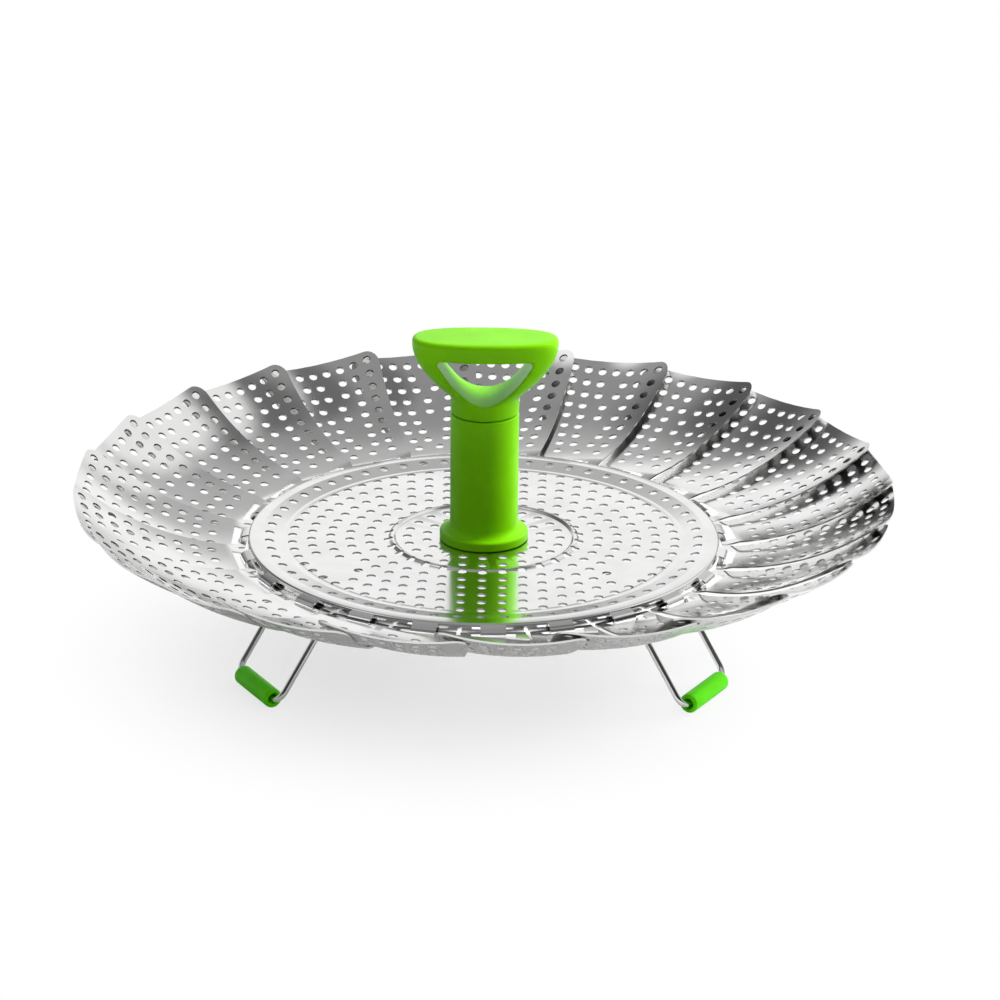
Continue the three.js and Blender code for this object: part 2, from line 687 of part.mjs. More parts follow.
for (let i = 0; i < LEG_COUNT; i++) {
  const wire = node(`leg_${i + 1}`, legWire(), wireSteel);
  const foot = node(`foot_${i + 1}`, footSleeve(), greenSilicone);
  foot.position.copy(footPlace());
  const bracket = node(`leg_bracket_${i + 1}`, legBracket(), steel);
  const hinge = new THREE.Group();
  hinge.position.set(LEG_HINGE_RADIUS, 0, LEG_AXIS_Z);
  hinge.add(wire, foot, bracket);
  const place = new THREE.Group();
  place.rotation.z = LEG_AZIMUTH + i * LEG_STEP;
  place.add(hinge);
  basket.add(place);
}

export default basket;
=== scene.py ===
"""Folding petal steamer basket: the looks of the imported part, made piece by piece.

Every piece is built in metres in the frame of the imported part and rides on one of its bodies.
"""

import math

import bmesh
import bpy
from bpy.props import FloatProperty, FloatVectorProperty, IntProperty, PointerProperty
from mathutils import Matrix, Vector


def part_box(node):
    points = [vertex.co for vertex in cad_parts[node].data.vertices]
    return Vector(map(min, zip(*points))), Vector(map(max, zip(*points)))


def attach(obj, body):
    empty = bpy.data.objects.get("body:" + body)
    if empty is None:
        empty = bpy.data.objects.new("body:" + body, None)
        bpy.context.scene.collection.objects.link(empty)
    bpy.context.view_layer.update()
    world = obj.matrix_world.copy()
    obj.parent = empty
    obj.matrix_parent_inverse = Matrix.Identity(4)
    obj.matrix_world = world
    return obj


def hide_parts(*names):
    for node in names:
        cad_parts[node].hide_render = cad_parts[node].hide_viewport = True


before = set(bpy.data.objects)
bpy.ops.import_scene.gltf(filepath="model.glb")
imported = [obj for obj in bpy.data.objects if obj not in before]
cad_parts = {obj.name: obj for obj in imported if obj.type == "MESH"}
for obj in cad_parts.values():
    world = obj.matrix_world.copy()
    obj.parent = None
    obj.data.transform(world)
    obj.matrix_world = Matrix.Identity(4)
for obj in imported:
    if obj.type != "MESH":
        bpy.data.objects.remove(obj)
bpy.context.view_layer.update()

bl_info = {
    "name": "Petal steamer basket",
    "version": (1, 0, 0),
    "blender": (4, 5, 0),
    "location": "3D View > Sidebar > Steamer",
    "description": "Builds a folding steamer basket over its packed frame",
    "category": "Add Mesh",
}

MM = 0.001
LEGS = (1, 2, 3)

# Room round what is held, what slides and what grips, and the broken edge of cut sheet
FIT = 0.2 * MM
SLIDE = 0.3 * MM
SNUG = 0.15 * MM
SHEET_EDGE = 0.15 * MM

# Depth of a tool that passes through any sheet, and how far a petal's underside and edges are made
# rougher and darkened with painted shade
THROUGH = 200 * MM
UNDERSIDE_SHADE = 0.6
EDGE_SHADE = 0.7

# How much squarer than an oval the grip is at its top
SQUARENESS = 0.5


def length(name, description, millimetres):
    """A size that a user may change, shown in the scene's unit of length."""
    return FloatProperty(
        name=name, description=description, default=millimetres * MM, unit="LENGTH", precision=5
    )


def angle(name, description, degrees):
    """An angle that a user may change."""
    return FloatProperty(
        name=name, description=description, default=math.radians(degrees), subtype="ANGLE"
    )


def share(name, description, value):
    """A plain number from nought to one."""
    return FloatProperty(
        name=name, description=description, default=value, min=0, max=1, subtype="FACTOR"
    )


def tally(name, description, value):
    """How many there are of something, or which one it is."""
    return IntProperty(name=name, description=description, default=value, min=0)


def slope(name, description, value):
    """A change of one length along another."""
    return FloatProperty(name=name, description=description, default=value)


def colour(name, description, value):
    """A linear colour."""
    return FloatVectorProperty(
        name=name, description=description, default=value, size=3, min=0, max=1, subtype="COLOR"
    )


def spot(name, description, metres):
    """A place in the scene."""
    return FloatVectorProperty(
        name=name, description=description, default=metres, size=3, subtype="TRANSLATION"
    )


def power(name, description, watts):
    """The power of a lamp."""
    return FloatProperty(name=name, description=description, default=watts, unit="POWER")


class PlateSizes(bpy.types.PropertyGroup):
    """Sizes of the pressed plate that carries everything else."""

    sheet: length("Sheet", "Thickness of the plate", 0.6)
    top: length("Top", "Height of the plate's floor above the ground", 37.615)
    eye: length("Eye", "Radius of the hole for the fixing screw", 2.3)
    bead_radius: length("Bead radius", "Radius of the raised bead round the post", 28.6)
    bead_width: length("Bead width", "Width of the raised bead", 2.6)
    bead_rise: length("Bead rise", "Height of the raised bead", 0.7)
    floor_radius: length("Floor radius", "Radius at which the ramp starts", 62.7)
    crest_radius: length("Crest radius", "Radius at which the crest starts", 71.1)
    crest_width: length("Crest width", "Width of the flat of the crest", 1.7)
    skirt_radius: length("Skirt radius", "Radius of the skirt that turns down", 73.3)
    ramp_rise: length("Ramp rise", "Height of the crest above the floor", 1.2)
    ramp_lead: length("Ramp lead", "Flat past the floor's radius, before the ramp", 0.4)
    crest_lead: length("Crest lead", "How far before the crest's radius the ramp ends", 1.6)
    skirt_drop: length("Skirt drop", "Depth of the skirt under the crest", 3.2)
    groove: length("Groove", "Depth of the groove before the ramp", 0.1)
    groove_width: length("Groove width", "Width of the groove before the ramp", 1.4)
    hole: length("Hole", "Diameter of a hole", 2.9)
    ring_pitch: length("Ring pitch", "Distance between two rings of holes", 5.98)
    first_ring: tally("First ring", "Number of the inmost ring", 3)
    last_ring: tally("Last ring", "Number of the outmost ring", 10)
    ring_holes: tally("Holes per ring", "Holes that each ring has more than the last", 6)
    ramp_holes: tally("Ramp holes", "Holes in the ramp", 60)
    ramp_ring: length("Ramp ring", "Radius of the ring of holes in the ramp", 66.9)
    bare_radius: length("Bare radius", "Distance of the bare spots from the middle", 52.6)
    bare_size: length("Bare size", "Radius of a bare spot over a leg bracket", 6.6)


class PetalSizes(bpy.types.PropertyGroup):
    """Sizes of one petal and of the hinge that carries it."""

    count: tally("Count", "Number of petals", 23)
    phase: angle("Phase", "Angle of the first petal", 6.8)
    sheet: length("Sheet", "Thickness of a petal", 0.5)
    hinge_radius: length("Hinge radius", "Distance of the hinge line from the middle", 74.834)
    hinge_height: length("Hinge height", "Height of the hinge line above the ground", 36.231)
    reach: length("Reach", "Distance from hinge line to rim, seen from above", 52.166)
    root_slope: angle("Root slope", "Slope of a petal at its hinge", 1.5)
    end_slope: angle("End slope", "Slope of a petal at the rim", 38.5)
    root_twist: slope("Root twist", "Rise per width of a petal at its hinge", 0.083)
    rim_twist: slope("Rim twist", "Rise per width of a petal at the rim", 0.091)
    root_hollow: length("Root hollow", "Radius of the hollow across a petal at its hinge", 250)
    rim_hollow: length("Rim hollow", "Radius of the hollow across a petal at the rim", 60)
    form_from: length("Form from", "Reach at which twist and hollow start", 0.7)
    form_to: length("Form to", "Reach at which twist and hollow are full", 4.2)
    root_relief: length("Root relief", "Room beside the hinge bar", 0.7)
    open_root_lap: length("Open root lap", "Reach of the open edge past halfway at the hinge", 0)
    open_rim_lap: length("Open rim lap", "Reach of the open edge past halfway at the rim", 2.2)
    covered_root_lap: length("Covered root lap", "Lap of the covered edge at the hinge", 0.6)
    covered_rim_lap: length("Covered rim lap", "Lap of the covered edge at the rim", 9)
    corner: length("Corner", "Radius of the two end corners", 4.2)
    root_corner: length("Root corner", "Radius of the two corners beside the hinge", 0.5)
    bar: length("Bar", "Width of the hinge bar", 1.8)
    window_reach: length("Window reach", "Far edge of the window beside the hinge bar", 3.8)
    window_width: length("Window width", "Width of the window", 13.2)
    tongue_width: length("Tongue width", "Width of the plate's tongue in the window", 7.6)
    tongue_curl: length("Tongue curl", "Radius of the tongue's middle round the bar", 1.484)
    tongue_drop: length("Tongue drop", "Fall of the tongue from the crest to its curl", 0.8)
    tongue_sweep: angle("Tongue sweep", "How far round the bar the tongue curls", 168)
    hole: length("Hole", "Diameter of a hole", 2.9)
    rows: tally("Rows", "Rows of holes", 9)
    first_row: length("First row", "Distance of the first row from the rim", 4.4)
    row_pitch: length("Row pitch", "Distance between two rows", 5.25)
    column_pitch: length("Column pitch", "Distance between two columns of holes", 4.95)
    columns: tally("Columns", "Columns of holes on each side", 3)
    narrowing: slope("Narrowing", "Shift of the columns per reach", 0.205)


class PostSizes(bpy.types.PropertyGroup):
    """Sizes of the post in the middle and of what holds it."""

    diameter: length("Diameter", "Outer diameter of the post", 21.2)
    bore: length("Bore", "Inner diameter of the post", 17)
    foot: length("Foot", "Height of the post's foot above the ground", 37.815)
    height: length("Height", "Height of the post", 41.2)
    floor: length("Floor", "Thickness of the post's floor", 5.6)
    flange: length("Flange", "Diameter of the flange", 27.6)
    flange_height: length("Flange height", "Height of the flange", 2.9)
    fillet: length("Fillet", "Radius between flange and post", 2.6)
    collar: length("Collar", "Height of the guide collar in the post's mouth", 4)
    insert: length("Insert", "Diameter of the threaded insert", 6.4)
    insert_length: length("Insert length", "Length of the threaded insert", 5)
    shank: length("Shank", "Diameter of the fixing screw's shank", 4)
    slot_length: length("Slot length", "Length of the cross slot in the screw", 4.2)
    slot_width: length("Slot width", "Width of the cross slot", 0.9)
    slot_depth: length("Slot depth", "Depth of the cross slot", 1.3)


class GripSizes(bpy.types.PropertyGroup):
    """Sizes of the lifting grip."""

    foot: length("Foot", "Height of the grip's foot above the ground", 79.215)
    width: length("Width", "Width of the grip", 45.2)
    depth: length("Depth", "Depth of the grip", 20.4)
    height: length("Height", "Height of the grip", 24.4)
    neck: length("Neck", "Height at which the grip starts to widen", 5.6)
    edge: length("Edge", "Rounding of the top edge", 1.4)
    opening_width: length("Opening width", "Width of the finger opening", 30.8)
    opening_top: length("Opening top", "Height of the opening's flat top", 18.6)
    opening_bottom: length("Opening bottom", "Height of the opening's lowest point", 4.8)
    stem: length("Stem", "Diameter of the stem in the post", 12)
    stem_end: length("Stem end", "Height of the stem's end above the ground", 43.715)
    groove: length("Groove", "Depth of the groove for the snap ring", 1.4)
    groove_height: length("Groove height", "Height of the groove above the ground", 45.115)
    groove_width: length("Groove width", "Width of the groove", 2)
    ring: length("Ring", "Diameter of the snap ring", 16)
    ring_sheet: length("Ring sheet", "Thickness of the snap ring", 1.6)


class LegSizes(bpy.types.PropertyGroup):
    """Sizes of a wire leg, its bracket and its sleeve."""

    hinge_radius: length("Hinge radius", "Distance of a leg's hinge from the middle", 57.4)
    hinge_height: length("Hinge height", "Height of a leg's hinge above the ground", 34.715)
    leg: length("Leg", "Length of a leg from hinge to sleeve", 38.3)
    lean: angle("Lean", "Angle of a leg from upright", 34.1)
    span: length("Span", "Distance between a leg's two runs of wire", 28.3)
    wire: length("Wire", "Diameter of the wire", 2)
    bend: length("Bend", "Radius of the wire's bends", 4)
    tip: length("Tip", "Half the gap between the wire's two ends", 2.5)
    sleeve: length("Sleeve", "Diameter of a sleeve", 6)
    sleeve_length: length("Sleeve length", "Length of a sleeve", 21.6)
    sleeve_bore: length("Sleeve bore", "Diameter of the bore at a sleeve's ends", 3.6)
    bracket_sheet: length("Bracket sheet", "Thickness of a bracket", 0.8)
    bracket_width: length("Bracket width", "Width of a bracket", 13)
    bracket_tab: length("Bracket tab", "Length of the tab welded to the plate", 11)
    bracket_curl: length("Bracket curl", "Radius of a bracket's middle round the wire", 1.7)
    bracket_sweep: angle("Bracket sweep", "How far round the wire a bracket curls", 226)


class Finishes(bpy.types.PropertyGroup):
    """Colours and gloss of the finishes."""

    steel: colour("Steel", "Colour of the polished sheet", (0.955, 0.953, 0.948))
    steel_rough: share("Steel roughness", "Roughness of the polished petals", 0.13)
    plate_rough: share("Plate roughness", "Roughness of the brushed plate", 0.15)
    wire: colour("Wire", "Colour of the bright wire", (0.82, 0.818, 0.81))
    wire_rough: share("Wire roughness", "Roughness of the bright wire", 0.08)
    plastic: colour("Plastic", "Colour of post and grip", (0.22, 0.7, 0.001))
    plastic_rough: share("Plastic roughness", "Roughness of post and grip", 0.32)
    silicone: colour("Silicone", "Colour of the sleeves", (0.11, 0.74, 0.001))
    silicone_rough: share("Silicone roughness", "Roughness of the sleeves", 0.42)
    brass: colour("Brass", "Colour of the insert", (0.72, 0.5, 0.2))


class StageSizes(bpy.types.PropertyGroup):
    """Camera, floor and light."""

    azimuth: angle("Azimuth", "Turn of the camera round the object", 0.3)
    elevation: angle("Elevation", "Height of the camera above the horizon", 20.79)
    roll: angle("Roll", "Clockwise lean of the picture", 0.6)
    distance: length("Distance", "Camera to aim", 1161)
    lens: FloatProperty(name="Lens", description="Focal length", default=134.2, unit="CAMERA")
    near: length("Near", "Nearest distance that the camera sees", 50)
    far: length("Far", "Farthest distance that the camera sees", 60000)
    aim_side: length("Aim side", "Aim beside the middle, as seen by the camera", 4.96)
    aim_height: length("Aim height", "Aim above the ground", 50.03)
    fill: share("Fill", "Even light from all round on dull surfaces", 0.28)
    room: share("Room", "Share of the room's light on dull surfaces", 0.72)
    floor: colour("Floor", "Colour of the floor", (0.93, 0.93, 0.93))
    floor_width: length("Floor width", "Width of the floor", 28000)
    pool: share("Pool", "Share of white in the floor under the middle", 0.58)
    pool_from: length("Pool from", "Distance at which the floor starts to turn white", 30)
    pool_to: length("Pool to", "Distance at which the floor is white", 130)
    pool_side: length("Pool side", "Shift of the shadow's middle to the left", 12)
    far_from: length("Far from", "Distance at which the mirrored floor starts to turn white", 220)
    far_to: length("Far to", "Distance at which the mirrored floor is white", 500)
    key_power: power("Key power", "Power of the large soft lamp", 32)
    key_size: length("Key size", "Side of the large soft lamp", 900)
    key_place: spot("Key place", "Where the large soft lamp hangs", (0.9, 0.55, 0.95))
    side_power: power("Side power", "Power of the weak lamp on the right", 5)
    side_size: length("Side size", "Side of the weak lamp", 300)
    side_place: spot("Side place", "Where the weak lamp hangs", (1.1, 0.15, 0.25))
    lamp_aim: length("Lamp aim", "Height at which both lamps point", 40)


SETTINGS = {
    "steamer_plate": PlateSizes,
    "steamer_petals": PetalSizes,
    "steamer_post": PostSizes,
    "steamer_grip": GripSizes,
    "steamer_legs": LegSizes,
    "steamer_finishes": Finishes,
    "steamer_stage": StageSizes,
}


class Value:
    """A number in a node tree that takes part in Python arithmetic."""

    def __init__(self, graph, socket):
        self.graph = graph
        self.socket = socket

    def maths(self, operation, *numbers):
        """A Math node whose inputs are the given numbers and values, in order."""
        return self.graph.add("ShaderNodeMath", {"operation": operation}, dict(enumerate(numbers)))

    def output(self, name):
        """Another output of the node that this value comes from."""
        return Value(self.graph, self.socket.node.outputs[name])

    def __add__(self, other):
        return self.maths("ADD", self, other)

    def __sub__(self, other):
        return self.maths("SUBTRACT", self, other)

    def __rsub__(self, other):
        return self.maths("SUBTRACT", other, self)

    def __mul__(self, other):
        return self.maths("MULTIPLY", self, other)

    def __truediv__(self, other):
        return self.maths("DIVIDE", self, other)

    def __rtruediv__(self, other):
        return self.maths("DIVIDE", other, self)

    def __lt__(self, other):
        return self.maths("LESS_THAN", self, other)

    def __neg__(self):
        return self.maths("MULTIPLY", self, -1)

    __radd__ = __add__
    __rmul__ = __mul__

    def at_least(self, other):
        """The larger of two numbers."""
        return self.maths("MAXIMUM", self, other)

    def root(self):
        """The square root."""
        return self.maths("SQRT", self)

    def step(self, low, high, soft=True):
        """Nought below low, one above high, and a ramp between them."""
        return self.graph.add(
            "ShaderNodeMapRange",
            {"interpolation_type": "SMOOTHSTEP" if soft else "LINEAR"},
            {"Value": self, "From Min": low, "From Max": high},
        )

    def towards(self, other, part):
        """This number moved a part of the way towards another."""
        return self + part * (other - self)


class Graph:
    """A node tree, with one method that adds any node."""

    def __init__(self, tree):
        self.tree = tree
        tree.nodes.clear()

    def add(self, kind, settings=None, sockets=None, output=0):
        """Add a node: its settings first, then the values or links of its sockets."""
        node = self.tree.nodes.new(kind)
        for name, setting in (settings or {}).items():
            setattr(node, name, setting)
        for key, given in (sockets or {}).items():
            for item in given if isinstance(given, list) else [given]:
                if isinstance(item, Value):
                    self.tree.links.new(item.socket, node.inputs[key])
                else:
                    node.inputs[key].default_value = item
        return Value(self, node.outputs[output]) if len(node.outputs) else node

    def xyz(self, x=0.0, y=0.0, z=0.0):
        """A vector from three numbers or values."""
        return self.add("ShaderNodeCombineXYZ", None, {"X": x, "Y": y, "Z": z})

    def parts(self, vector):
        """The three numbers of a vector."""
        x = self.add("ShaderNodeSeparateXYZ", None, {0: vector})
        return x, x.output("Y"), x.output("Z")

    def mixed(self, mask, first, second):
        """One colour where a mask is nought and another where it is one."""
        return self.add(
            "ShaderNodeMix", {"data_type": "RGBA"}, {0: mask, 6: first, 7: second}, output=2
        )

    def noise(self, place, scale, detail):
        """A noise from nought to one."""
        return self.add(
            "ShaderNodeTexNoise", None, {"Vector": place, "Scale": scale, "Detail": detail}
        )

    def stretched(self, place, scale):
        """Coordinates drawn out by a Mapping node."""
        return self.add("ShaderNodeMapping", None, {"Vector": place, "Scale": scale})

    def bump(self, height, strength, distance):
        """A normal from a height."""
        return self.add(
            "ShaderNodeBump", None, {"Height": height, "Strength": strength, "Distance": distance}
        )

    def rays(self):
        """Whether light is seen by the camera, and whether in a polished or clear surface."""
        seen = self.add("ShaderNodeLightPath", None, None, output="Is Camera Ray")
        return seen, seen.output("Is Glossy Ray").at_least(seen.output("Is Transmission Ray"))


class Shaping(Graph):
    """A geometry tree with named inputs: the piece that it shapes, and values for the rest."""

    KINDS = {
        float: "NodeSocketFloat",
        bpy.types.Object: "NodeSocketObject",
        bpy.types.Material: "NodeSocketMaterial",
    }

    def __init__(self, name, piece, values):
        super().__init__(bpy.data.node_groups.new(name, "GeometryNodeTree"))
        ends = self.tree.interface
        ends.new_socket(piece, in_out="INPUT", socket_type="NodeSocketGeometry")
        self.values = {}
        for label, value in values.items():
            kind = next(kind for sort, kind in self.KINDS.items() if isinstance(value, sort))
            item = ends.new_socket(label, in_out="INPUT", socket_type=kind)
            self.values[item.identifier] = value
        ends.new_socket("Piece", in_out="OUTPUT", socket_type="NodeSocketGeometry")
        self.start = self.add("NodeGroupInput")

    def given(self, label):
        """One of the tree's named inputs."""
        return self.start.output(label)

    def end(self, shape):
        """Turn the shape into one plain mesh with the finish on it."""
        plain = self.add("GeometryNodeRealizeInstances", None, {0: shape})
        dressed = self.add(
            "GeometryNodeSetMaterial", None, {"Geometry": plain, "Material": self.given("Finish")}
        )
        self.add("NodeGroupOutput", None, {0: dressed})

    def cut(self, operation, shape, tools):
        """A boolean of closed shapes."""
        sockets = {"Mesh 2": [*tools, shape]}
        if operation == "DIFFERENCE":
            sockets = {"Mesh 1": shape, "Mesh 2": tools}
        return self.add(
            "GeometryNodeMeshBoolean", {"operation": operation, "solver": "MANIFOLD"}, sockets
        )

    def dulled_and_shaded(self, shape, amount=1.0):
        """A shape whose faces the finish makes rougher and darkens with painted shade, by the given
        amount.
        """
        return self.add(
            "GeometryNodeStoreNamedAttribute",
            {"data_type": "FLOAT", "domain": "FACE"},
            {"Geometry": shape, "Name": "cut", "Value": amount},
        )

    def moved(self, shape, place=(0, 0, 0), turn=(0, 0, 0)):
        """A shape moved and turned."""
        return self.add(
            "GeometryNodeTransform",
            None,
            {"Geometry": shape, "Translation": place, "Rotation": turn},
        )

    def circle(self, count, radius):
        """Points on a circle round the middle."""
        return self.add("GeometryNodeMeshCircle", None, {"Vertices": count, "Radius": radius})

    def drawn(self, label):
        """The mesh of the object at a named input."""
        return self.add(
            "GeometryNodeObjectInfo", None, {"Object": self.given(label)}, output="Geometry"
        )

    def copies(self, points, shape, sockets):
        """A shape at every point, as plain mesh."""
        sockets = {"Points": points, "Instance": shape, **sockets}
        placed = self.add("GeometryNodeInstanceOnPoints", None, sockets)
        return self.add("GeometryNodeRealizeInstances", None, {0: placed})

    def punches(self, points, scale=(1, 1, 1)):
        """A round punch at every point, through any sheet, whose walls count as cut steel: rougher, and
        darkened with painted shade.
        """
        sockets = {"Vertices": 16, "Radius": self.given("Hole") / 2, "Depth": THROUGH}
        punch = self.add("GeometryNodeMeshCylinder", None, sockets)
        return self.dulled_and_shaded(self.copies(points, punch, {"Scale": scale}))

    def run(self, piece):
        """Shape an object's mesh with this tree and leave the plain result in it."""
        modifier = piece.modifiers.new(self.tree.name, "NODES")
        modifier.node_group = self.tree
        for place, value in self.values.items():
            modifier[place] = value
        bake(piece)
        if not piece.data.polygons:
            raise RuntimeError(f"{self.tree.name} left {piece.name} empty")


def bake(piece):
    """Put the evaluated mesh in place of an object's modifiers."""
    bpy.context.view_layer.update()
    evaluated = piece.evaluated_get(bpy.context.evaluated_depsgraph_get())
    result = bpy.data.meshes.new_from_object(evaluated)
    result.name = piece.name
    piece.modifiers.clear()
    before, piece.data = piece.data, result
    bpy.data.meshes.remove(before)


def new_piece(name, points=(), faces=(), finish=None):
    """A linked object with a mesh of the given points and faces."""
    mesh = bpy.data.meshes.new(name)
    mesh.from_pydata([tuple(point) for point in points], [], [tuple(face) for face in faces])
    mesh.update()
    if finish:
        mesh.materials.append(finish)
    piece = bpy.data.objects.new(name, mesh)
    bpy.context.scene.collection.objects.link(piece)
    return piece


def discard(piece):
    """Remove an object that has done its work, and its mesh."""
    mesh = piece.data
    bpy.data.objects.remove(piece)
    bpy.data.meshes.remove(mesh)


def outward(piece):
    """Make every face of a closed mesh point outwards."""
    work = bmesh.new()
    work.from_mesh(piece.data)
    bmesh.ops.remove_doubles(work, verts=work.verts, dist=1e-7)
    bmesh.ops.recalc_face_normals(work, faces=work.faces)
    work.to_mesh(piece.data)
    work.free()


def smooth(piece, degrees=32):
    """Smooth shading that keeps every edge sharper than the given angle."""
    piece.data.shade_smooth()
    piece.data.set_sharp_from_angle(angle=math.radians(degrees))


def carve(piece, tool):
    """Cut one closed object out of another and discard it."""
    cut = piece.modifiers.new("Cut", "BOOLEAN")
    cut.operation, cut.object, cut.solver = "DIFFERENCE", tool, "MANIFOLD"
    bake(piece)
    discard(tool)


def ease_edges(piece, degrees=30):
    """Bevel every edge of a piece of cut sheet that is sharper than the given angle."""
    edge = piece.modifiers.new("Edge", "BEVEL")
    edge.width, edge.segments, edge.limit_method = SHEET_EDGE, 2, "ANGLE"
    edge.angle_limit = math.radians(degrees)
    bake(piece)


def join(piece, other):
    """Add the mesh of another object to a piece and discard that object."""
    work = bmesh.new()
    for source in (piece, other):
        work.from_mesh(source.data)
    work.to_mesh(piece.data)
    work.free()
    discard(other)


def hang(piece, body, slot, *nodes):
    """Let a finished piece ride on a body in place of its CAD nodes."""
    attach(piece, body)
    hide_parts(*nodes)


def leg_azimuth(number):
    """The direction of a leg, from where its sleeve sits."""
    low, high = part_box(f"foot_{number}")
    return math.atan2(low.y + high.y, low.x + high.x)


def arc(radius, first, sweep, steps):
    """Points on an arc round the origin, from a first angle through a sweep."""
    turns = [first + sweep * step / steps for step in range(steps + 1)]
    return [Vector((radius * math.cos(turn), radius * math.sin(turn))) for turn in turns]


def rounded(corners, steps, closed=True):
    """A line through corners (u, v) or (u, v, radius), each cut by an arc of its radius."""
    places = [Vector(corner[:2]) for corner in corners]
    count = len(places)
    line = []
    for i, (at, corner) in enumerate(zip(places, corners)):
        inner = closed or 0 < i < count - 1
        if not inner or len(corner) < 3:
            line.append(at)
            continue
        radius = corner[2]
        back = places[i - 1] - at
        on = places[(i + 1) % count] - at
        half = back.angle(on) / 2
        reach = radius / math.tan(half)
        centre = at + (back.normalized() + on.normalized()).normalized() * radius / math.sin(half)
        start = at + back.normalized() * reach - centre
        sweep = start.angle_signed(at + on.normalized() * reach - centre)
        for step in range(steps + 1):
            line.append(centre + Matrix.Rotation(-sweep * step / steps, 2) @ start)
    return line


def sheet_outline(middle, thickness):
    """Closed outline of a bent sheet from its middle line, in a plane."""
    left, right = [], []
    for i, point in enumerate(middle):
        before = point - middle[i - 1] if i else middle[1] - point
        after = middle[i + 1] - point if i + 1 < len(middle) else before
        way = (before.normalized() + after.normalized()).normalized()
        off = Vector((-way.y, way.x)) * thickness / 2 / way.dot(after.normalized())
        left.append(point + off)
        right.append(point - off)
    return left + right[::-1]


def ring_section(inner, outer, low, high, edge):
    """Section of a flat ring with rounded edges."""
    corners = [(inner, low, edge), (outer, low, edge), (outer, high, edge), (inner, high, edge)]
    return rounded(corners, 3)


def turned(name, profile, segments, finish=None):
    """A piece turned about Z from a closed profile of radius and height."""
    points, rings = [], []
    for radius, height in profile:
        if radius < 1e-9:
            rings.append([len(points)] * segments)
            points.append((0, 0, height))
            continue
        rings.append(list(range(len(points), len(points) + segments)))
        for i in range(segments):
            a = 2 * math.pi * i / segments
            points.append((radius * math.cos(a), radius * math.sin(a), height))
    faces = []
    for low, high in zip(rings, rings[1:] + rings[:1]):
        for i in range(segments):
            j = (i + 1) % segments
            face = list(dict.fromkeys((low[i], low[j], high[j], high[i])))
            if len(face) > 2:
                faces.append(face)
    piece = new_piece(name, points, faces, finish)
    outward(piece)
    return piece


def extruded(name, outline, low, high, upright=False, finish=None):
    """A piece drawn out between two depths from a lying outline, or from one that stands in XZ."""
    count = len(outline)
    points = []
    for depth in (low, high):
        points += [(u, depth, v) if upright else (u, v, depth) for u, v in outline]
    faces = [list(range(count))[::-1], list(range(count, 2 * count))]
    faces += [(i, (i + 1) % count, count + (i + 1) % count, count + i) for i in range(count)]
    piece = new_piece(name, points, faces, finish)
    outward(piece)
    return piece


def named_finish(name, mix, *settings):
    """The named finish, mixed by a function the first time that it is asked for."""
    made = bpy.data.materials.get(name)
    if made:
        return made
    made = bpy.data.materials.new(name)
    made.use_nodes = True
    graph = Graph(made.node_tree)
    shader = graph.add("ShaderNodeBsdfPrincipled", None, mix(graph, *settings))
    graph.add("ShaderNodeOutputMaterial", None, {"Surface": shader})
    return made


def tone(base, level=1.0):
    """A colour for a socket, darkened to the given level."""
    return (*(channel * level for channel in base), 1)


def sheet_steel(graph, coordinates, rough):
    """Polished stainless sheet: fine straight grain, faint clouds, a slight wave, and faces carrying
    the cut value made rougher and darkened with painted shade.
    """
    steel = bpy.context.scene.steamer_finishes.steel
    place = graph.add("ShaderNodeTexCoord", None, None, output=coordinates)

    # Noise scales are waves per metre, and the grain runs along X
    grain = graph.noise(graph.stretched(place, (60, 2600, 60)), 1, 2)
    clouds = graph.noise(place, 90, 3)
    wave = graph.noise(place, 38, 1)
    # Painted shade: faces with the cut value (hole walls, petal edges and undersides) are darkened
    # towards 0.42 of the steel and made rougher
    cut = graph.add("ShaderNodeAttribute", {"attribute_name": "cut"}, None, output="Fac")
    faces = graph.mixed(clouds.step(0.35, 0.7), tone(steel), tone(steel, 0.95))
    return {
        "Base Color": graph.mixed(cut, faces, tone(steel, 0.42)),
        "Metallic": 1.0,
        "Roughness": rough + (grain - 0.5) * 0.07 + (clouds - 0.5) * 0.06 + cut * 0.25,
        "Normal": graph.bump(grain * 0.12 + wave, 0.1, 0.4 * MM),
    }


def drawn_wire(graph):
    """Drawn bright wire with faint clouds."""
    given = bpy.context.scene.steamer_finishes
    place = graph.add("ShaderNodeTexCoord", None, None, output="Object")
    clouds = graph.noise(place, 240, 3)
    return {
        "Base Color": graph.mixed(clouds, tone(given.wire), tone(given.wire, 0.86)),
        "Metallic": 1.0,
        "Roughness": given.wire_rough + clouds * 0.06,
        "Normal": graph.bump(clouds, 0.1, 0.2 * MM),
    }


def moulded(graph, base, rough, grain):
    """Moulded green plastic or silicone with a fine satin skin."""
    place = graph.add("ShaderNodeTexCoord", None, None, output="Object")
    skin = graph.noise(place, grain, 2)
    clouds = graph.noise(place, 70, 3)
    return {
        "Base Color": graph.mixed(clouds.step(0.3, 0.7), tone(base), tone(base, 0.88)),
        "Roughness": rough + (clouds - 0.5) * 0.1 + (skin - 0.5) * 0.05,
        "Specular IOR Level": 0.2,
        "Specular Tint": (0.72, 1, 0.4, 1),
        "Normal": graph.bump(skin, 0.08, 0.1 * MM),
    }


def turned_brass(graph):
    """Turned brass with fine rings."""
    brass = bpy.context.scene.steamer_finishes.brass
    place = graph.add("ShaderNodeTexCoord", None, None, output="Object")
    rings = graph.noise(graph.stretched(place, (200, 200, 4000)), 1, 2)
    return {
        "Base Color": graph.mixed(rings, tone(brass), tone(brass, 0.8)),
        "Metallic": 1.0,
        "Roughness": 0.24 + rings * 0.12,
    }


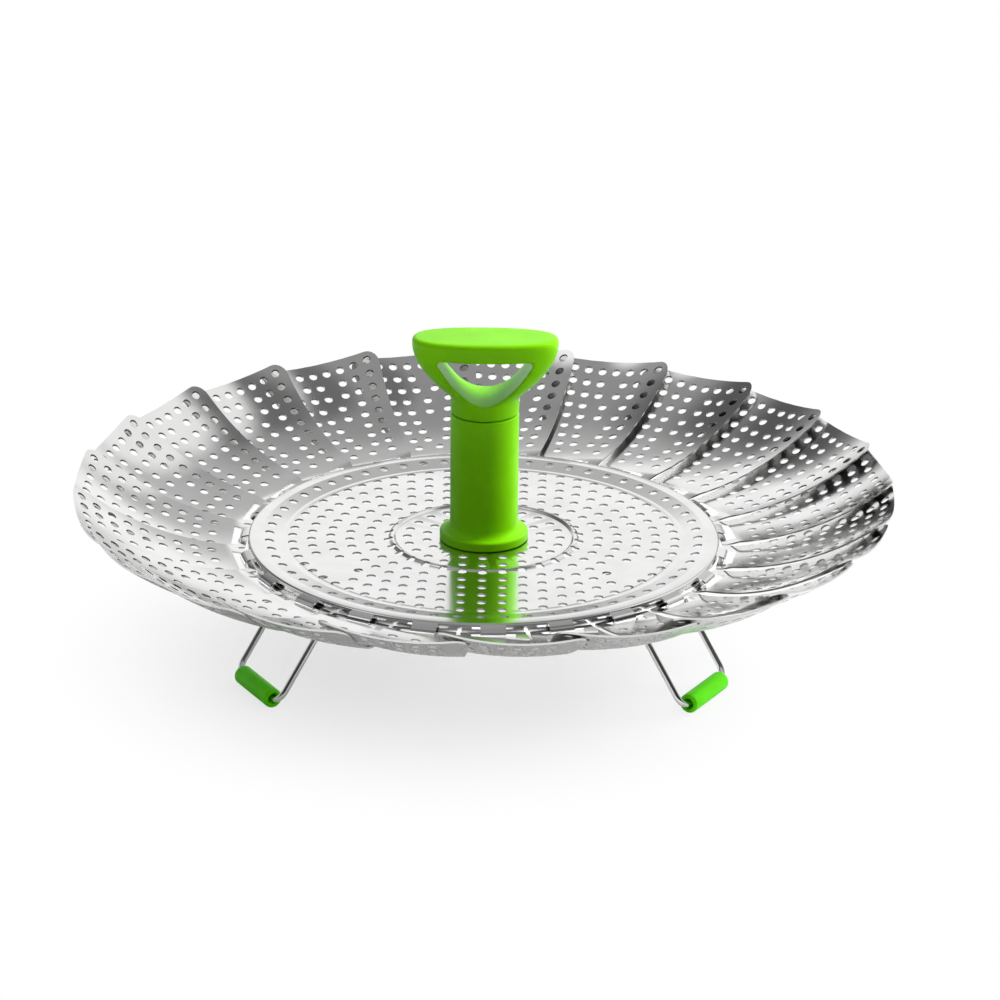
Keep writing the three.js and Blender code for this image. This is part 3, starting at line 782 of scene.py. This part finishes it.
def plate_steel():
    """The finish of the plate and of the small steel pieces."""
    rough = bpy.context.scene.steamer_finishes.plate_rough
    return named_finish("Plate steel", sheet_steel, "Object", rough)


def petal_steel():
    """The finish of the petals, whose grain follows each petal."""
    rough = bpy.context.scene.steamer_finishes.steel_rough
    return named_finish("Petal steel", sheet_steel, "UV", rough)


def green_plastic():
    """The finish of post and grip."""
    given = bpy.context.scene.steamer_finishes
    return named_finish("Green plastic", moulded, given.plastic, given.plastic_rough, 2200)


def green_silicone():
    """The finish of the sleeves on the feet."""
    given = bpy.context.scene.steamer_finishes
    return named_finish("Green silicone", moulded, given.silicone, given.silicone_rough, 1500)


class STEAMER_OT_stage(bpy.types.Operator):
    """Make the camera, the pale floor and the soft light"""

    bl_idname = "steamer.stage"
    bl_label = "Stage"

    def execute(self, context):
        sizes = context.scene.steamer_stage
        context.scene.view_settings.view_transform = "Standard"
        self.camera(context, sizes)
        self.surroundings(context, sizes)
        self.floor(sizes)
        self.lamp(context, "Soft box", sizes.key_power, sizes.key_size, sizes.key_place)
        self.lamp(context, "Side box", sizes.side_power, sizes.side_size, sizes.side_place)
        return {"FINISHED"}

    def camera(self, context, sizes):
        """A long lens in front, looking down over the rim."""
        side = Vector((math.cos(sizes.azimuth), math.sin(sizes.azimuth), 0))
        aim = side * sizes.aim_side + Vector((0, 0, sizes.aim_height))
        level = Vector((side.y, -side.x, 0))
        back = level * math.cos(sizes.elevation) + Vector((0, 0, math.sin(sizes.elevation)))
        lens = bpy.data.cameras.new("Photo camera")
        lens.lens = sizes.lens
        lens.clip_start, lens.clip_end = sizes.near, sizes.far
        eye = bpy.data.objects.new("Photo camera", lens)
        eye.location = aim + back * sizes.distance
        looking = (-back).to_track_quat("-Z", "Y").to_matrix()
        eye.rotation_euler = (looking @ Matrix.Rotation(sizes.roll, 3, "Z")).to_euler()
        context.scene.collection.objects.link(eye)
        context.scene.camera = eye

    def cone(self, graph, way, azimuth, elevation, edge, core):
        """One within a core round a direction and nought past an edge, in degrees.

        Azimuth is nought behind the basket and grows to the right.
        """
        azimuth, elevation, edge, core = map(math.radians, (azimuth, elevation, edge, core))
        level = math.cos(elevation)
        aim = (math.sin(azimuth) * level, math.cos(azimuth) * level, math.sin(elevation))
        near = graph.add(
            "ShaderNodeVectorMath", {"operation": "DOT_PRODUCT"}, {0: way, 1: aim}, output="Value"
        )
        return near.step(math.cos(edge), math.cos(core))

    def surroundings(self, context, sizes):
        """A dim room in front, light behind and grey overhead, with patches of light and shade."""
        world = bpy.data.worlds.new("Studio")
        world.use_nodes = True
        context.scene.world = world
        graph = Graph(world.node_tree)
        way = graph.add("ShaderNodeTexCoord", None, None, output="Generated")
        x, y, z = graph.parts(way)
        behind = y.step(-0.1, 0.35)
        low = (1 - z.step(0.37, 0.56)) * (1 - x.step(0.32, 0.6) * 0.5)
        front = self.cone(graph, way, 180, 60, 53.1, 0)
        right = self.cone(graph, way, 52, 42, 23.8, 14.1)
        shade = self.cone(graph, way, -42, 30, 28.4, 9.9)
        gap = self.cone(graph, way, 50, 65, 19.1, 9.9)
        left = self.cone(graph, way, -90, 58, 12, 5.1)
        ceiling = z.step(0.6, 0.86)
        skirting = z.step(0.05, 0.3)

        # Each level lies over those before it
        seen = 0.03 + front * 0.25
        seen = seen.towards(0.58, behind)
        seen = seen.towards(0.34, ceiling)
        seen = seen * (1 - gap * 0.5)
        seen = seen.towards(0.8 + skirting * 0.4, behind * low)
        seen = seen * (1 - shade * 0.8)
        seen = seen.towards(1.05, right)
        seen = seen.towards(1.2, left)

        # Dull surfaces get an even room, and the camera sees plain white
        in_view, mirrored = graph.rays()
        dull = seen * sizes.room + sizes.fill
        level = dull.towards(seen, mirrored).towards(1, in_view)
        backdrop = graph.add("ShaderNodeBackground", None, {"Strength": level})
        graph.add("ShaderNodeOutputWorld", None, {"Surface": backdrop})

    def floor(self, sizes):
        """A pale floor that keeps the shadow and fades to white round the object."""
        half = sizes.floor_width / 2
        corners = [(-half, -half, 0), (half, -half, 0), (half, half, 0), (-half, half, 0)]
        made = bpy.data.materials.new("Pale floor")
        made.use_nodes = True
        graph = Graph(made.node_tree)
        place = graph.add("ShaderNodeTexCoord", None, None, output="Object")
        x, y, _ = graph.parts(place)
        side = x + sizes.pool_side
        away = (side * side + y * y).root()
        paper = graph.add(
            "ShaderNodeBsdfDiffuse", None, {"Color": tone(sizes.floor), "Roughness": 0.5}
        )
        glow = graph.add("ShaderNodeEmission", None, {"Color": (1, 1, 1, 1), "Strength": 1.0})
        in_view, mirrored = graph.rays()
        far = away.step(sizes.far_from, sizes.far_to) * mirrored
        pool = away.step(sizes.pool_from, sizes.pool_to) * (1 - sizes.pool) + sizes.pool
        surface = graph.add(
            "ShaderNodeMixShader", None, {0: far.towards(pool, in_view), 1: paper, 2: glow}
        )
        graph.add("ShaderNodeOutputMaterial", None, {"Surface": surface})
        new_piece("Floor", corners, [(0, 1, 2, 3)], made)

    def lamp(self, context, name, watts, size, place):
        """A square soft lamp that points at the basket and isn't mirrored in it."""
        lamp = bpy.data.lights.new(name, "AREA")
        lamp.shape, lamp.size, lamp.energy = "SQUARE", size, watts
        soft = bpy.data.objects.new(name, lamp)
        soft.location = place
        soft.visible_glossy = False
        aim = Vector((0, 0, context.scene.steamer_stage.lamp_aim)) - soft.location
        soft.rotation_euler = aim.to_track_quat("-Z", "Y").to_euler()
        context.scene.collection.objects.link(soft)


class STEAMER_OT_plate(bpy.types.Operator):
    """Press the plate, punch its rings of holes and curl its hinge tongues"""

    bl_idname = "steamer.plate"
    bl_label = "Plate"

    def profile(self, sizes):
        """Outline of the sheet's section from the eye to the edge of the skirt."""
        middle = sizes.top - sizes.sheet / 2
        line = [Vector((sizes.eye, middle))]
        inside, steps = sizes.bead_radius - sizes.bead_width / 2, 12
        for step in range(steps + 1):
            rise = sizes.bead_rise * (1 - math.cos(2 * math.pi * step / steps)) / 2
            line.append(Vector((inside + sizes.bead_width * step / steps, middle + rise)))
        crest = middle + sizes.ramp_rise
        groove, reach = sizes.floor_radius - sizes.groove_width, sizes.groove_width / 2
        corners = [
            (sizes.bead_radius + sizes.bead_width, middle),
            (groove - reach, middle, 0.6 * MM),
            (groove, middle - sizes.groove, 0.8 * MM),
            (groove + reach, middle, 0.6 * MM),
            (sizes.floor_radius + sizes.ramp_lead, middle, 1.5 * MM),
            (sizes.crest_radius - sizes.crest_lead, crest, 2 * MM),
            (sizes.skirt_radius, crest, 0.7 * MM),
            (sizes.skirt_radius, crest - sizes.skirt_drop),
        ]
        line += rounded(corners, 6, closed=False)
        return sheet_outline(line, sizes.sheet)

    def tree(self, sizes, petals, tongue):
        """Tongues round the edge, then punches in rings with bare spots over the brackets."""
        graph = Shaping(
            "Punched plate",
            "Sheet",
            {
                "Tongue": tongue,
                "Hinge radius": petals.hinge_radius,
                "Hinge phase": petals.phase,
                "Hole": sizes.hole,
                "Ring pitch": sizes.ring_pitch,
                "Ramp ring": sizes.ramp_ring,
                "Bare radius": sizes.bare_radius,
                "Bare size": sizes.bare_size,
                "Finish": plate_steel(),
            },
        )
        given = graph.given
        around = graph.circle(petals.count, given("Hinge radius"))
        around = graph.moved(around, turn=graph.xyz(z=given("Hinge phase")))
        x, y, _ = graph.parts(graph.add("GeometryNodeInputPosition"))
        facing = graph.add(
            "FunctionNodeEulerToRotation", None, {0: graph.xyz(z=x.maths("ARCTAN2", y, x))}
        )
        tongues = graph.copies(around, graph.drawn("Tongue"), {"Rotation": facing})
        rings = [
            graph.circle(sizes.ring_holes * number, given("Ring pitch") * number)
            for number in range(sizes.first_ring, sizes.last_ring + 1)
        ]
        rings = graph.add("GeometryNodeJoinGeometry", None, {0: rings})
        rings = graph.moved(rings, turn=(0, 0, -math.pi / 2))
        for number in LEGS:
            turn = leg_azimuth(number)
            over = x - given("Bare radius") * math.cos(turn)
            up = y - given("Bare radius") * math.sin(turn)
            bare = (over * over + up * up).root() < given("Bare size")
            rings = graph.add(
                "GeometryNodeDeleteGeometry",
                {"domain": "POINT"},
                {"Geometry": rings, "Selection": bare},
            )
        ramp = graph.circle(sizes.ramp_holes, given("Ramp ring"))
        spots = graph.add("GeometryNodeJoinGeometry", None, {0: [rings, ramp]})
        whole = graph.cut("UNION", given("Sheet"), [tongues])
        graph.end(graph.cut("DIFFERENCE", whole, [graph.punches(spots)]))
        return graph

    def tongue(self, sizes, petals):
        """One tongue at the origin: out from the crest and down round the hinge bar."""
        curl = petals.tongue_curl
        inside = sizes.crest_radius + sizes.crest_width / 2 - petals.hinge_radius
        start = Vector((inside, curl + petals.tongue_drop))
        first = math.atan2(start.y, start.x) - math.acos(curl / start.length)
        line = [start, *arc(curl, first, -petals.tongue_sweep, 14)]
        outline = [(u, v + petals.hinge_height) for u, v in sheet_outline(line, petals.sheet)]
        half = petals.tongue_width / 2
        return extruded("Tongue", outline, -half, half, upright=True)

    def execute(self, context):
        sizes, petals = context.scene.steamer_plate, context.scene.steamer_petals
        plate = turned("Plate", self.profile(sizes), 216)
        tongue = self.tongue(sizes, petals)
        self.tree(sizes, petals, tongue).run(plate)
        discard(tongue)
        smooth(plate)
        hang(plate, "basket", "steel", "base_plate")
        return {"FINISHED"}


class STEAMER_OT_petals(bpy.types.Operator):
    """Form one petal, punch it and set copies of it round the plate"""

    bl_idname = "steamer.petals"
    bl_label = "Petals"

    def side_width(self, sizes, reach, covered):
        """Distance from a petal's middle line to one of its sides."""
        root, rim = sizes.open_root_lap, sizes.open_rim_lap
        if covered:
            root, rim = sizes.covered_root_lap, sizes.covered_rim_lap
        along = min(max((reach - sizes.form_to) / (sizes.reach - sizes.form_to), 0), 1)
        formed = min(max((reach - sizes.form_from) / (sizes.form_to - sizes.form_from), 0), 1)
        lap = root + (rim - root) * along
        halfway = (sizes.hinge_radius + max(reach, 0)) * math.tan(math.pi / sizes.count)
        return halfway - sizes.root_relief + (lap + sizes.root_relief) * formed

    def on_rim(self, sizes, across):
        """Reach of the rim circle at a distance from the middle line."""
        rim = sizes.hinge_radius + sizes.reach
        return math.sqrt(rim * rim - across * across) - sizes.hinge_radius

    def outline(self, sizes):
        """Outline of a petal seen from above, hinge at the origin and rim along +X."""
        stations = [-sizes.bar / 2, sizes.form_from, (sizes.form_from + sizes.form_to) / 2]
        stations += [sizes.form_to, 0.3 * sizes.reach, 0.6 * sizes.reach]
        sides = []
        for sign, covered in ((1, True), (-1, False)):
            side = [(reach, sign * self.side_width(sizes, reach, covered)) for reach in stations]
            side[0] = (*side[0], sizes.root_corner)
            end = self.side_width(sizes, sizes.reach, covered)
            end = self.side_width(sizes, self.on_rim(sizes, end), covered)
            sides.append([*side, (self.on_rim(sizes, end), sign * end, sizes.corner)])
        covered, opened = sides
        rim, parts = [], 4
        for step in range(1 - parts, parts):
            across = (covered if step < 0 else opened)[-1][1] * abs(step) / parts
            rim.append((self.on_rim(sizes, across), across))
        return rounded([*covered, *rim, *opened[::-1]], 7)

    def hole_places(self, sizes):
        """Rows of holes whose columns close up towards the hinge and meet on the middle line."""
        radius = self.bend_radius(sizes)
        pitch = sizes.column_pitch

        # Nearer to the middle line than this, a pair gives way to one hole, and then to none
        pair, single = 0.455 * pitch, 0.16 * pitch
        first, places = None, []
        for row in range(sizes.rows):
            back = (sizes.first_row + row * sizes.row_pitch) / radius
            reach = radius * (math.sin(sizes.end_slope - back) - math.sin(sizes.root_slope))
            first = reach if first is None else first
            middle = row == 0
            for column in range(sizes.columns, 0, -1):
                across = column * pitch - sizes.narrowing * (first - reach)
                if across > pair:
                    places += [(reach, across, 0), (reach, -across, 0)]
                elif across > single:
                    middle = True
            if middle:
                places.append((reach, 0, 0))
        return places

    def bend_radius(self, sizes):
        """Radius of the arc from the hinge up to the rim."""
        return sizes.reach / (math.sin(sizes.end_slope) - math.sin(sizes.root_slope))

    def tree(self, sizes, marks):
        """A flat slab bent to the petal's form, cut to its outline and punched."""
        graph = Shaping(
            "Punched petal",
            "Outline",
            {
                "Hole places": marks,
                "Thickness": sizes.sheet,
                "Reach": sizes.reach,
                "Bend radius": self.bend_radius(sizes),
                "Root slope": sizes.root_slope,
                "Root twist": sizes.root_twist,
                "Rim twist": sizes.rim_twist,
                "Root curve": 1 / sizes.root_hollow,
                "Rim curve": 1 / sizes.rim_hollow,
                "Form from": sizes.form_from,
                "Form to": sizes.form_to,
                "Hole": sizes.hole,
                "Bar": sizes.bar,
                "Window reach": sizes.window_reach,
                "Window width": sizes.window_width,
                "Finish": petal_steel(),
            },
        )
        given = graph.given
        spare, width = 6 * MM, 60 * MM
        slab = graph.add(
            "GeometryNodeMeshCube",
            None,
            {
                "Size": graph.xyz(given("Reach") + spare, width, given("Thickness")),
                "Vertices X": 48,
                "Vertices Y": 25,
                "Vertices Z": 2,
            },
        )
        slab = graph.moved(slab, place=graph.xyz(x=given("Reach") / 2))
        x, y, z = graph.parts(graph.add("GeometryNodeInputPosition"))
        across = -y
        sine = x.maths("SINE", given("Root slope")) + x.at_least(0) / given("Bend radius")
        upright = (1 - sine * sine).root()
        rise = given("Bend radius") * (x.maths("COSINE", given("Root slope")) - upright)
        formed = x.step(given("Form from"), given("Form to"), soft=False)
        along = x.step(given("Form to"), given("Reach"), soft=False)
        twist = given("Root twist").towards(given("Rim twist"), along)
        curve = given("Root curve").towards(given("Rim curve"), along)
        form = (twist + curve * across / 2) * across
        height = rise + formed * form + z / upright
        bent = graph.add(
            "GeometryNodeSetPosition",
            None,
            {"Geometry": slab, "Position": graph.xyz(x, y, height)},
        )
        # Painted shade: the petal's underside is darkened so that the gaps under each open edge fall
        # dark
        downward = graph.parts(graph.add("GeometryNodeInputNormal"))[2] < -0.3
        bent = graph.dulled_and_shaded(bent, downward * UNDERSIDE_SHADE)
        # Painted shade: the petal's cut edge walls are darkened and made rougher so that they catch no
        # bright reflection
        leaf = graph.cut("INTERSECT", bent, [graph.dulled_and_shaded(given("Outline"), EDGE_SHADE)])
        punches = graph.punches(graph.drawn("Hole places"), graph.xyz(upright, 1.0, 1.0))
        near, far = given("Bar") / 2, given("Window reach")
        window = graph.add(
            "GeometryNodeMeshCube",
            None,
            {"Size": graph.xyz(far - near, given("Window width"), THROUGH)},
        )
        window = graph.moved(window, place=graph.xyz(x=(far + near) / 2))
        graph.end(graph.cut("DIFFERENCE", leaf, [punches, window]))
        return graph

    def execute(self, context):
        sizes = context.scene.steamer_petals
        leaf = extruded("Petal form", self.outline(sizes), -30 * MM, 80 * MM)
        marks = new_piece("Hole places", self.hole_places(sizes))
        self.tree(sizes, marks).run(leaf)
        discard(marks)
        smooth(leaf)
        grain = leaf.data.uv_layers.new(name="Grain")
        for loop in leaf.data.loops:
            point = leaf.data.vertices[loop.vertex_index].co
            grain.data[loop.index].uv = (point.x, point.y)
        place = Matrix.Translation((sizes.hinge_radius, 0, sizes.hinge_height))
        for i in range(sizes.count):
            name = f"petal_{i + 1:02d}"
            turn = sizes.phase - i * 2 * math.pi / sizes.count
            petal = bpy.data.objects.new(name + ".sheet", leaf.data.copy())
            petal.data.transform(Matrix.Rotation(turn, 4, "Z") @ place)
            context.scene.collection.objects.link(petal)
            hang(petal, name, "steel", name)
        discard(leaf)
        return {"FINISHED"}


class STEAMER_OT_post(bpy.types.Operator):
    """Turn the hollow post, its guide collar and its threaded insert"""

    bl_idname = "steamer.post"
    bl_label = "Post"

    def execute(self, context):
        sizes = context.scene.steamer_post
        self.tube(sizes)
        self.collar(sizes, context.scene.steamer_grip)
        self.insert(sizes)
        return {"FINISHED"}

    def tube(self, sizes):
        """The tube with its foot flange, open at the top."""
        radius, bore, flange = sizes.diameter / 2, sizes.bore / 2, sizes.flange / 2
        nut = sizes.insert / 2 + FIT
        low, high = sizes.foot, sizes.foot + sizes.height
        corners = [
            (nut, low),
            (flange, low, 0.3 * MM),
            (flange, low + sizes.flange_height, 0.8 * MM),
            (radius, low + sizes.flange_height, sizes.fillet),
            (radius, high, 0.35 * MM),
            (bore, high, 0.3 * MM),
            (bore, low + sizes.floor, 0.5 * MM),
            (nut, low + sizes.floor),
        ]
        post = turned("Post", rounded(corners, 8), 96, green_plastic())
        smooth(post)
        hang(post, "basket", "green_plastic", "post_tube")

    def collar(self, sizes, grip):
        """The ring in the tube's mouth that guides the grip's stem."""
        inner, outer = grip.stem / 2 + SLIDE, sizes.bore / 2 - FIT
        high = sizes.foot + sizes.height
        section = ring_section(inner, outer, high - sizes.collar, high, 0.3 * MM)
        collar = turned("Guide_collar", section, 72, green_plastic())
        smooth(collar)
        hang(collar, "basket", "green_plastic", "post_collar")

    def insert(self, sizes):
        """The brass insert in the tube's floor, with two grooves that hold it."""
        thread, outer, chamfer = sizes.shank / 2 + FIT, sizes.insert / 2, 0.3 * MM
        groove, mouth, floor = 0.35 * MM, 0.5 * MM, 0.2 * MM
        low, top = sizes.foot, sizes.foot + sizes.insert_length
        profile = [(thread, low), (outer - chamfer, low), (outer, low + chamfer)]
        for part in (0.3, 0.7):
            middle = low + sizes.insert_length * part
            profile += [
                (outer, middle - mouth),
                (outer - groove, middle - floor),
                (outer - groove, middle + floor),
                (outer, middle + mouth),
            ]
        profile += [(outer, top - chamfer), (outer - chamfer, top), (thread, top)]
        insert = turned("Threaded_insert", profile, 48, named_finish("Turned brass", turned_brass))
        smooth(insert)
        hang(insert, "basket", "brass", "thread_insert")


class STEAMER_OT_grip(bpy.types.Operator):
    """Mould the grip with its finger opening, stem and snap ring"""

    bl_idname = "steamer.grip"
    bl_label = "Grip"

    def section(self, sizes, height, count):
        """One ring of the grip's body: round at the neck, a squarer oval at the top."""
        neck = bpy.context.scene.steamer_post.diameter / 2
        part = (height - sizes.neck) / (sizes.height - sizes.edge - sizes.neck)
        part = min(max(part, 0), 1)
        wide = neck + (sizes.width / 2 - neck) * (1 - (1 - part) ** 2)
        deep = neck + (sizes.depth / 2 - neck) * part
        round_off = 2 / (2 + SQUARENESS * part)
        up = max(height - sizes.height + sizes.edge, 0) / sizes.edge
        inset = sizes.edge * (1 - math.sqrt(max(1 - up * up, 0)))
        ring = []
        for i in range(count):
            a = 2 * math.pi * i / count
            c, s = math.cos(a), math.sin(a)
            x = math.copysign(abs(c) ** round_off, c) * (wide - inset)
            y = math.copysign(abs(s) ** round_off, s) * (deep - inset)
            ring.append((x, y, sizes.foot + height))
        return ring

    def body(self, sizes):
        """The grip's outside, section on section."""
        count, below, flare, edge = 128, 4, 28, 6
        heights = [sizes.neck * i / below for i in range(below)]
        rise = sizes.height - sizes.edge - sizes.neck
        heights += [sizes.neck + rise * i / flare for i in range(flare)]
        for i in range(edge + 1):
            heights.append(sizes.height - sizes.edge * (1 - math.sin(math.pi / 2 * i / edge)))
        points = [point for height in heights for point in self.section(sizes, height, count)]
        faces = [list(range(count))[::-1]]
        for row in range(len(heights) - 1):
            for i in range(count):
                j = (i + 1) % count
                low, high = row * count, (row + 1) * count
                faces.append((low + i, low + j, high + j, high + i))
        faces.append(range(len(points) - count, len(points)))
        grip = new_piece("Grip", points, faces)
        outward(grip)
        return grip

    def opening(self, sizes):
        """A flat-topped opening with a bowl for the fingers."""
        half, depth, steps = sizes.opening_width / 2, 30 * MM, 16
        low, high = sizes.opening_bottom, sizes.opening_top
        outline = []
        for i in range(-steps, steps + 1):
            height = low + (high - low) * (i / steps) ** 2
            if height < high - 0.4 * MM:
                outline.append((half * i / steps, height))
        edge, corner = half * 0.985, 1.2 * MM
        outline = rounded([*outline, (edge, high, corner), (-edge, high, corner)], 6)
        outline = [(u, v + sizes.foot) for u, v in outline]
        return extruded("Finger opening", outline, -depth, depth, upright=True)

    def stem(self, sizes):
        """The stem that slides in the post, with a groove for its snap ring."""
        radius, waist, edge = sizes.stem / 2, sizes.stem / 2 - sizes.groove, 0.15 * MM
        low, top = sizes.groove_height, sizes.groove_height + sizes.groove_width
        inside = sizes.foot + sizes.opening_bottom / 2
        corners = [
            (0, sizes.stem_end),
            (radius, sizes.stem_end, 0.5 * MM),
            (radius, low, edge),
            (waist, low, edge),
            (waist, top, edge),
            (radius, top, edge),
            (radius, inside),
            (0, inside),
        ]
        stem = turned("Stem", rounded(corners, 4), 72, green_plastic())
        smooth(stem)
        return stem

    def execute(self, context):
        sizes = context.scene.steamer_grip
        grip = self.body(sizes)
        carve(grip, self.opening(sizes))
        skin = grip.modifiers.new("Skin", "REMESH")
        skin.mode, skin.voxel_size = "VOXEL", 0.42 * MM
        ease = grip.modifiers.new("Ease", "SMOOTH")
        ease.factor, ease.iterations = 0.5, 14
        bake(grip)
        grip.data.materials.clear()
        grip.data.materials.append(green_plastic())
        grip.data.shade_smooth()
        join(grip, self.stem(sizes))
        hang(grip, "grip", "green_plastic", "grip")
        self.snap_ring(sizes)
        return {"FINISHED"}

    def snap_ring(self, sizes):
        """An open flat ring in the stem's groove."""
        low = sizes.groove_height + FIT
        gap = math.radians(70)
        around = (gap / 2, 2 * math.pi - gap, 48)
        outline = arc(sizes.ring / 2, *around)
        outline += arc(sizes.stem / 2 - sizes.groove + FIT, *around)[::-1]
        ring = extruded("Snap_ring", outline, low, low + sizes.ring_sheet, finish=plate_steel())
        ease_edges(ring)
        smooth(ring)
        hang(ring, "grip", "steel", "snap_ring")


class STEAMER_OT_legs(bpy.types.Operator):
    """Bend the wire legs, slip on their sleeves and curl their brackets"""

    bl_idname = "steamer.legs"
    bl_label = "Legs"

    def wire_tree(self, sizes):
        """A wire along a path, with round bends."""
        graph = Shaping(
            "Bent wire",
            "Path",
            {"Wire": sizes.wire, "Bend": sizes.bend, "Finish": named_finish("Bright wire", drawn_wire)},
        )
        path = graph.add("GeometryNodeMeshToCurve", None, {"Mesh": graph.given("Path")})
        path = graph.add(
            "GeometryNodeFilletCurve",
            {"mode": "POLY"},
            {"Curve": path, "Count": 8, "Radius": graph.given("Bend"), "Limit Radius": True},
        )
        section = graph.add(
            "GeometryNodeCurvePrimitiveCircle",
            None,
            {"Resolution": 18, "Radius": graph.given("Wire") / 2},
        )
        wire = graph.add(
            "GeometryNodeCurveToMesh",
            None,
            {"Curve": path, "Profile Curve": section, "Fill Caps": True},
        )
        graph.end(wire)
        return graph

    def foot_place(self, sizes):
        """How far out and up a leg's sleeve lies from its hinge."""
        return sizes.leg * math.sin(sizes.lean), -sizes.leg * math.cos(sizes.lean)

    def wire(self, sizes, graph, name):
        """One leg in its own frame: hinge along Y, X pointing out."""
        half = sizes.span / 2
        out, up = self.foot_place(sizes)
        path = [
            (0, -sizes.tip, 0),
            (0, -half, 0),
            (out, -half, up),
            (out, half, up),
            (0, half, 0),
            (0, sizes.tip, 0),
        ]
        wire = new_piece(name)
        wire.data.from_pydata(path, [(i, i + 1) for i in range(len(path) - 1)], [])
        graph.run(wire)
        outward(wire)
        smooth(wire, 50)
        return wire

    def sleeve(self, sizes, name):
        """A soft sleeve along Y with round lips and a wider bore at its ends."""
        half, outer = sizes.sleeve_length / 2, sizes.sleeve / 2
        bore, mouth = sizes.wire / 2 + SNUG, sizes.sleeve_bore / 2
        deep, lip, edge = 2.5 * MM, 0.8 * MM, 0.25 * MM
        corners = [
            (bore, -half + deep),
            (mouth, -half, edge),
            (outer, -half, lip),
            (outer, half, lip),
            (mouth, half, edge),
            (bore, half - deep),
        ]
        sleeve = turned(name, rounded(corners, 6), 48, green_silicone())
        sleeve.data.transform(Matrix.Rotation(math.pi / 2, 4, "X"))
        smooth(sleeve, 50)
        return sleeve

    def bracket(self, sizes, name):
        """A welded tab that curls down round the wire."""
        curl, tab, half = sizes.bracket_curl, sizes.bracket_tab, sizes.bracket_width / 2
        line = [Vector((-tab, curl)), Vector((-tab / 2, curl))]
        line += arc(curl, math.pi / 2, -sizes.bracket_sweep, 18)
        outline = sheet_outline(line, sizes.bracket_sheet)
        bracket = extruded(name, outline, -half, half, upright=True, finish=plate_steel())
        ease_edges(bracket, 50)
        smooth(bracket)
        return bracket

    def execute(self, context):
        sizes = context.scene.steamer_legs
        graph = self.wire_tree(sizes)
        out, up = self.foot_place(sizes)
        down = Matrix.Translation((out, 0, up))
        for number in LEGS:
            turn = Matrix.Rotation(leg_azimuth(number), 4, "Z")
            place = turn @ Matrix.Translation((sizes.hinge_radius, 0, sizes.hinge_height))
            wire = self.wire(sizes, graph, f"Leg_wire_{number}")
            wire.data.transform(place)
            hang(wire, f"leg_{number}", "wire", f"leg_{number}")
            sleeve = self.sleeve(sizes, f"Foot_sleeve_{number}")
            sleeve.data.transform(place @ down)
            hang(sleeve, f"leg_{number}", "green_silicone", f"foot_{number}")
            bracket = self.bracket(sizes, f"Leg_bracket_{number}")
            bracket.data.transform(place)
            hang(bracket, "basket", "steel", f"leg_bracket_{number}")
        return {"FINISHED"}


class STEAMER_OT_fixing(bpy.types.Operator):
    """Turn the fixing screw with its cross slot and the washer under it"""

    bl_idname = "steamer.fixing"
    bl_label = "Fixing"

    def execute(self, context):
        self.screw(context.scene.steamer_post)
        self.washer(context.scene.steamer_plate.eye)
        return {"FINISHED"}

    def screw(self, sizes):
        """A pan head under the washer, with a shank up into the insert."""
        low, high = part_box("fixing_screw")
        head, shank = (high.x - low.x) / 2 * 0.99, sizes.shank / 2
        flat = head * 0.74
        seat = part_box("screw_washer")[0].z
        corners = [
            (0, low.z),
            (flat, low.z, 1.0 * MM),
            (head, (low.z + seat) / 2, 0.5 * MM),
            (head, seat, 0.2 * MM),
            (shank, seat),
            (shank, high.z, 0.3 * MM),
            (0, high.z),
        ]
        screw = turned("Fixing_screw", rounded(corners, 5), 64, plate_steel())
        long, narrow = sizes.slot_length / 2, sizes.slot_width / 2
        for x, y in ((long, narrow), (narrow, long)):
            outline = [(-x, -y), (x, -y), (x, y), (-x, y)]
            carve(screw, extruded("Slot", outline, low.z - 1 * MM, low.z + sizes.slot_depth))
        smooth(screw)
        hang(screw, "basket", "steel", "fixing_screw")

    def washer(self, inner):
        """A flat ring between the screw's head and the plate."""
        low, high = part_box("screw_washer")
        section = ring_section(inner, (high.x - low.x) / 2, low.z, high.z, 0.2 * MM)
        washer = turned("Screw_washer", section, 64, plate_steel())
        smooth(washer)
        hang(washer, "basket", "steel", "screw_washer")


OPERATORS = (
    STEAMER_OT_stage,
    STEAMER_OT_plate,
    STEAMER_OT_petals,
    STEAMER_OT_post,
    STEAMER_OT_grip,
    STEAMER_OT_legs,
    STEAMER_OT_fixing,
)


class STEAMER_PT_build(bpy.types.Panel):
    """Lists the pieces of the basket in the sidebar"""

    bl_idname = "STEAMER_PT_build"
    bl_label = "Petal steamer basket"
    bl_space_type = "VIEW_3D"
    bl_region_type = "UI"
    bl_category = "Steamer"

    def draw(self, context):
        for operator in OPERATORS:
            self.layout.operator(operator.bl_idname)
        for name, group in SETTINGS.items():
            box = self.layout.box()
            box.label(text=group.__name__)
            for key in group.__annotations__:
                box.prop(getattr(context.scene, name), key)


def register():
    """Register settings, operators and panel."""
    for group in SETTINGS.values():
        bpy.utils.register_class(group)
    for name, group in SETTINGS.items():
        setattr(bpy.types.Scene, name, PointerProperty(type=group))
    for item in (*OPERATORS, STEAMER_PT_build):
        bpy.utils.register_class(item)


def unregister():
    """Undo what register did."""
    for item in (STEAMER_PT_build, *reversed(OPERATORS)):
        bpy.utils.unregister_class(item)
    for name in SETTINGS:
        delattr(bpy.types.Scene, name)
    for group in reversed(list(SETTINGS.values())):
        bpy.utils.unregister_class(group)


def main():
    """Register, then build every piece in order."""
    register()
    bpy.ops.steamer.stage()
    bpy.ops.steamer.plate()
    bpy.ops.steamer.petals()
    bpy.ops.steamer.post()
    bpy.ops.steamer.grip()
    bpy.ops.steamer.legs()
    bpy.ops.steamer.fixing()


if __name__ == "__main__":
    main()
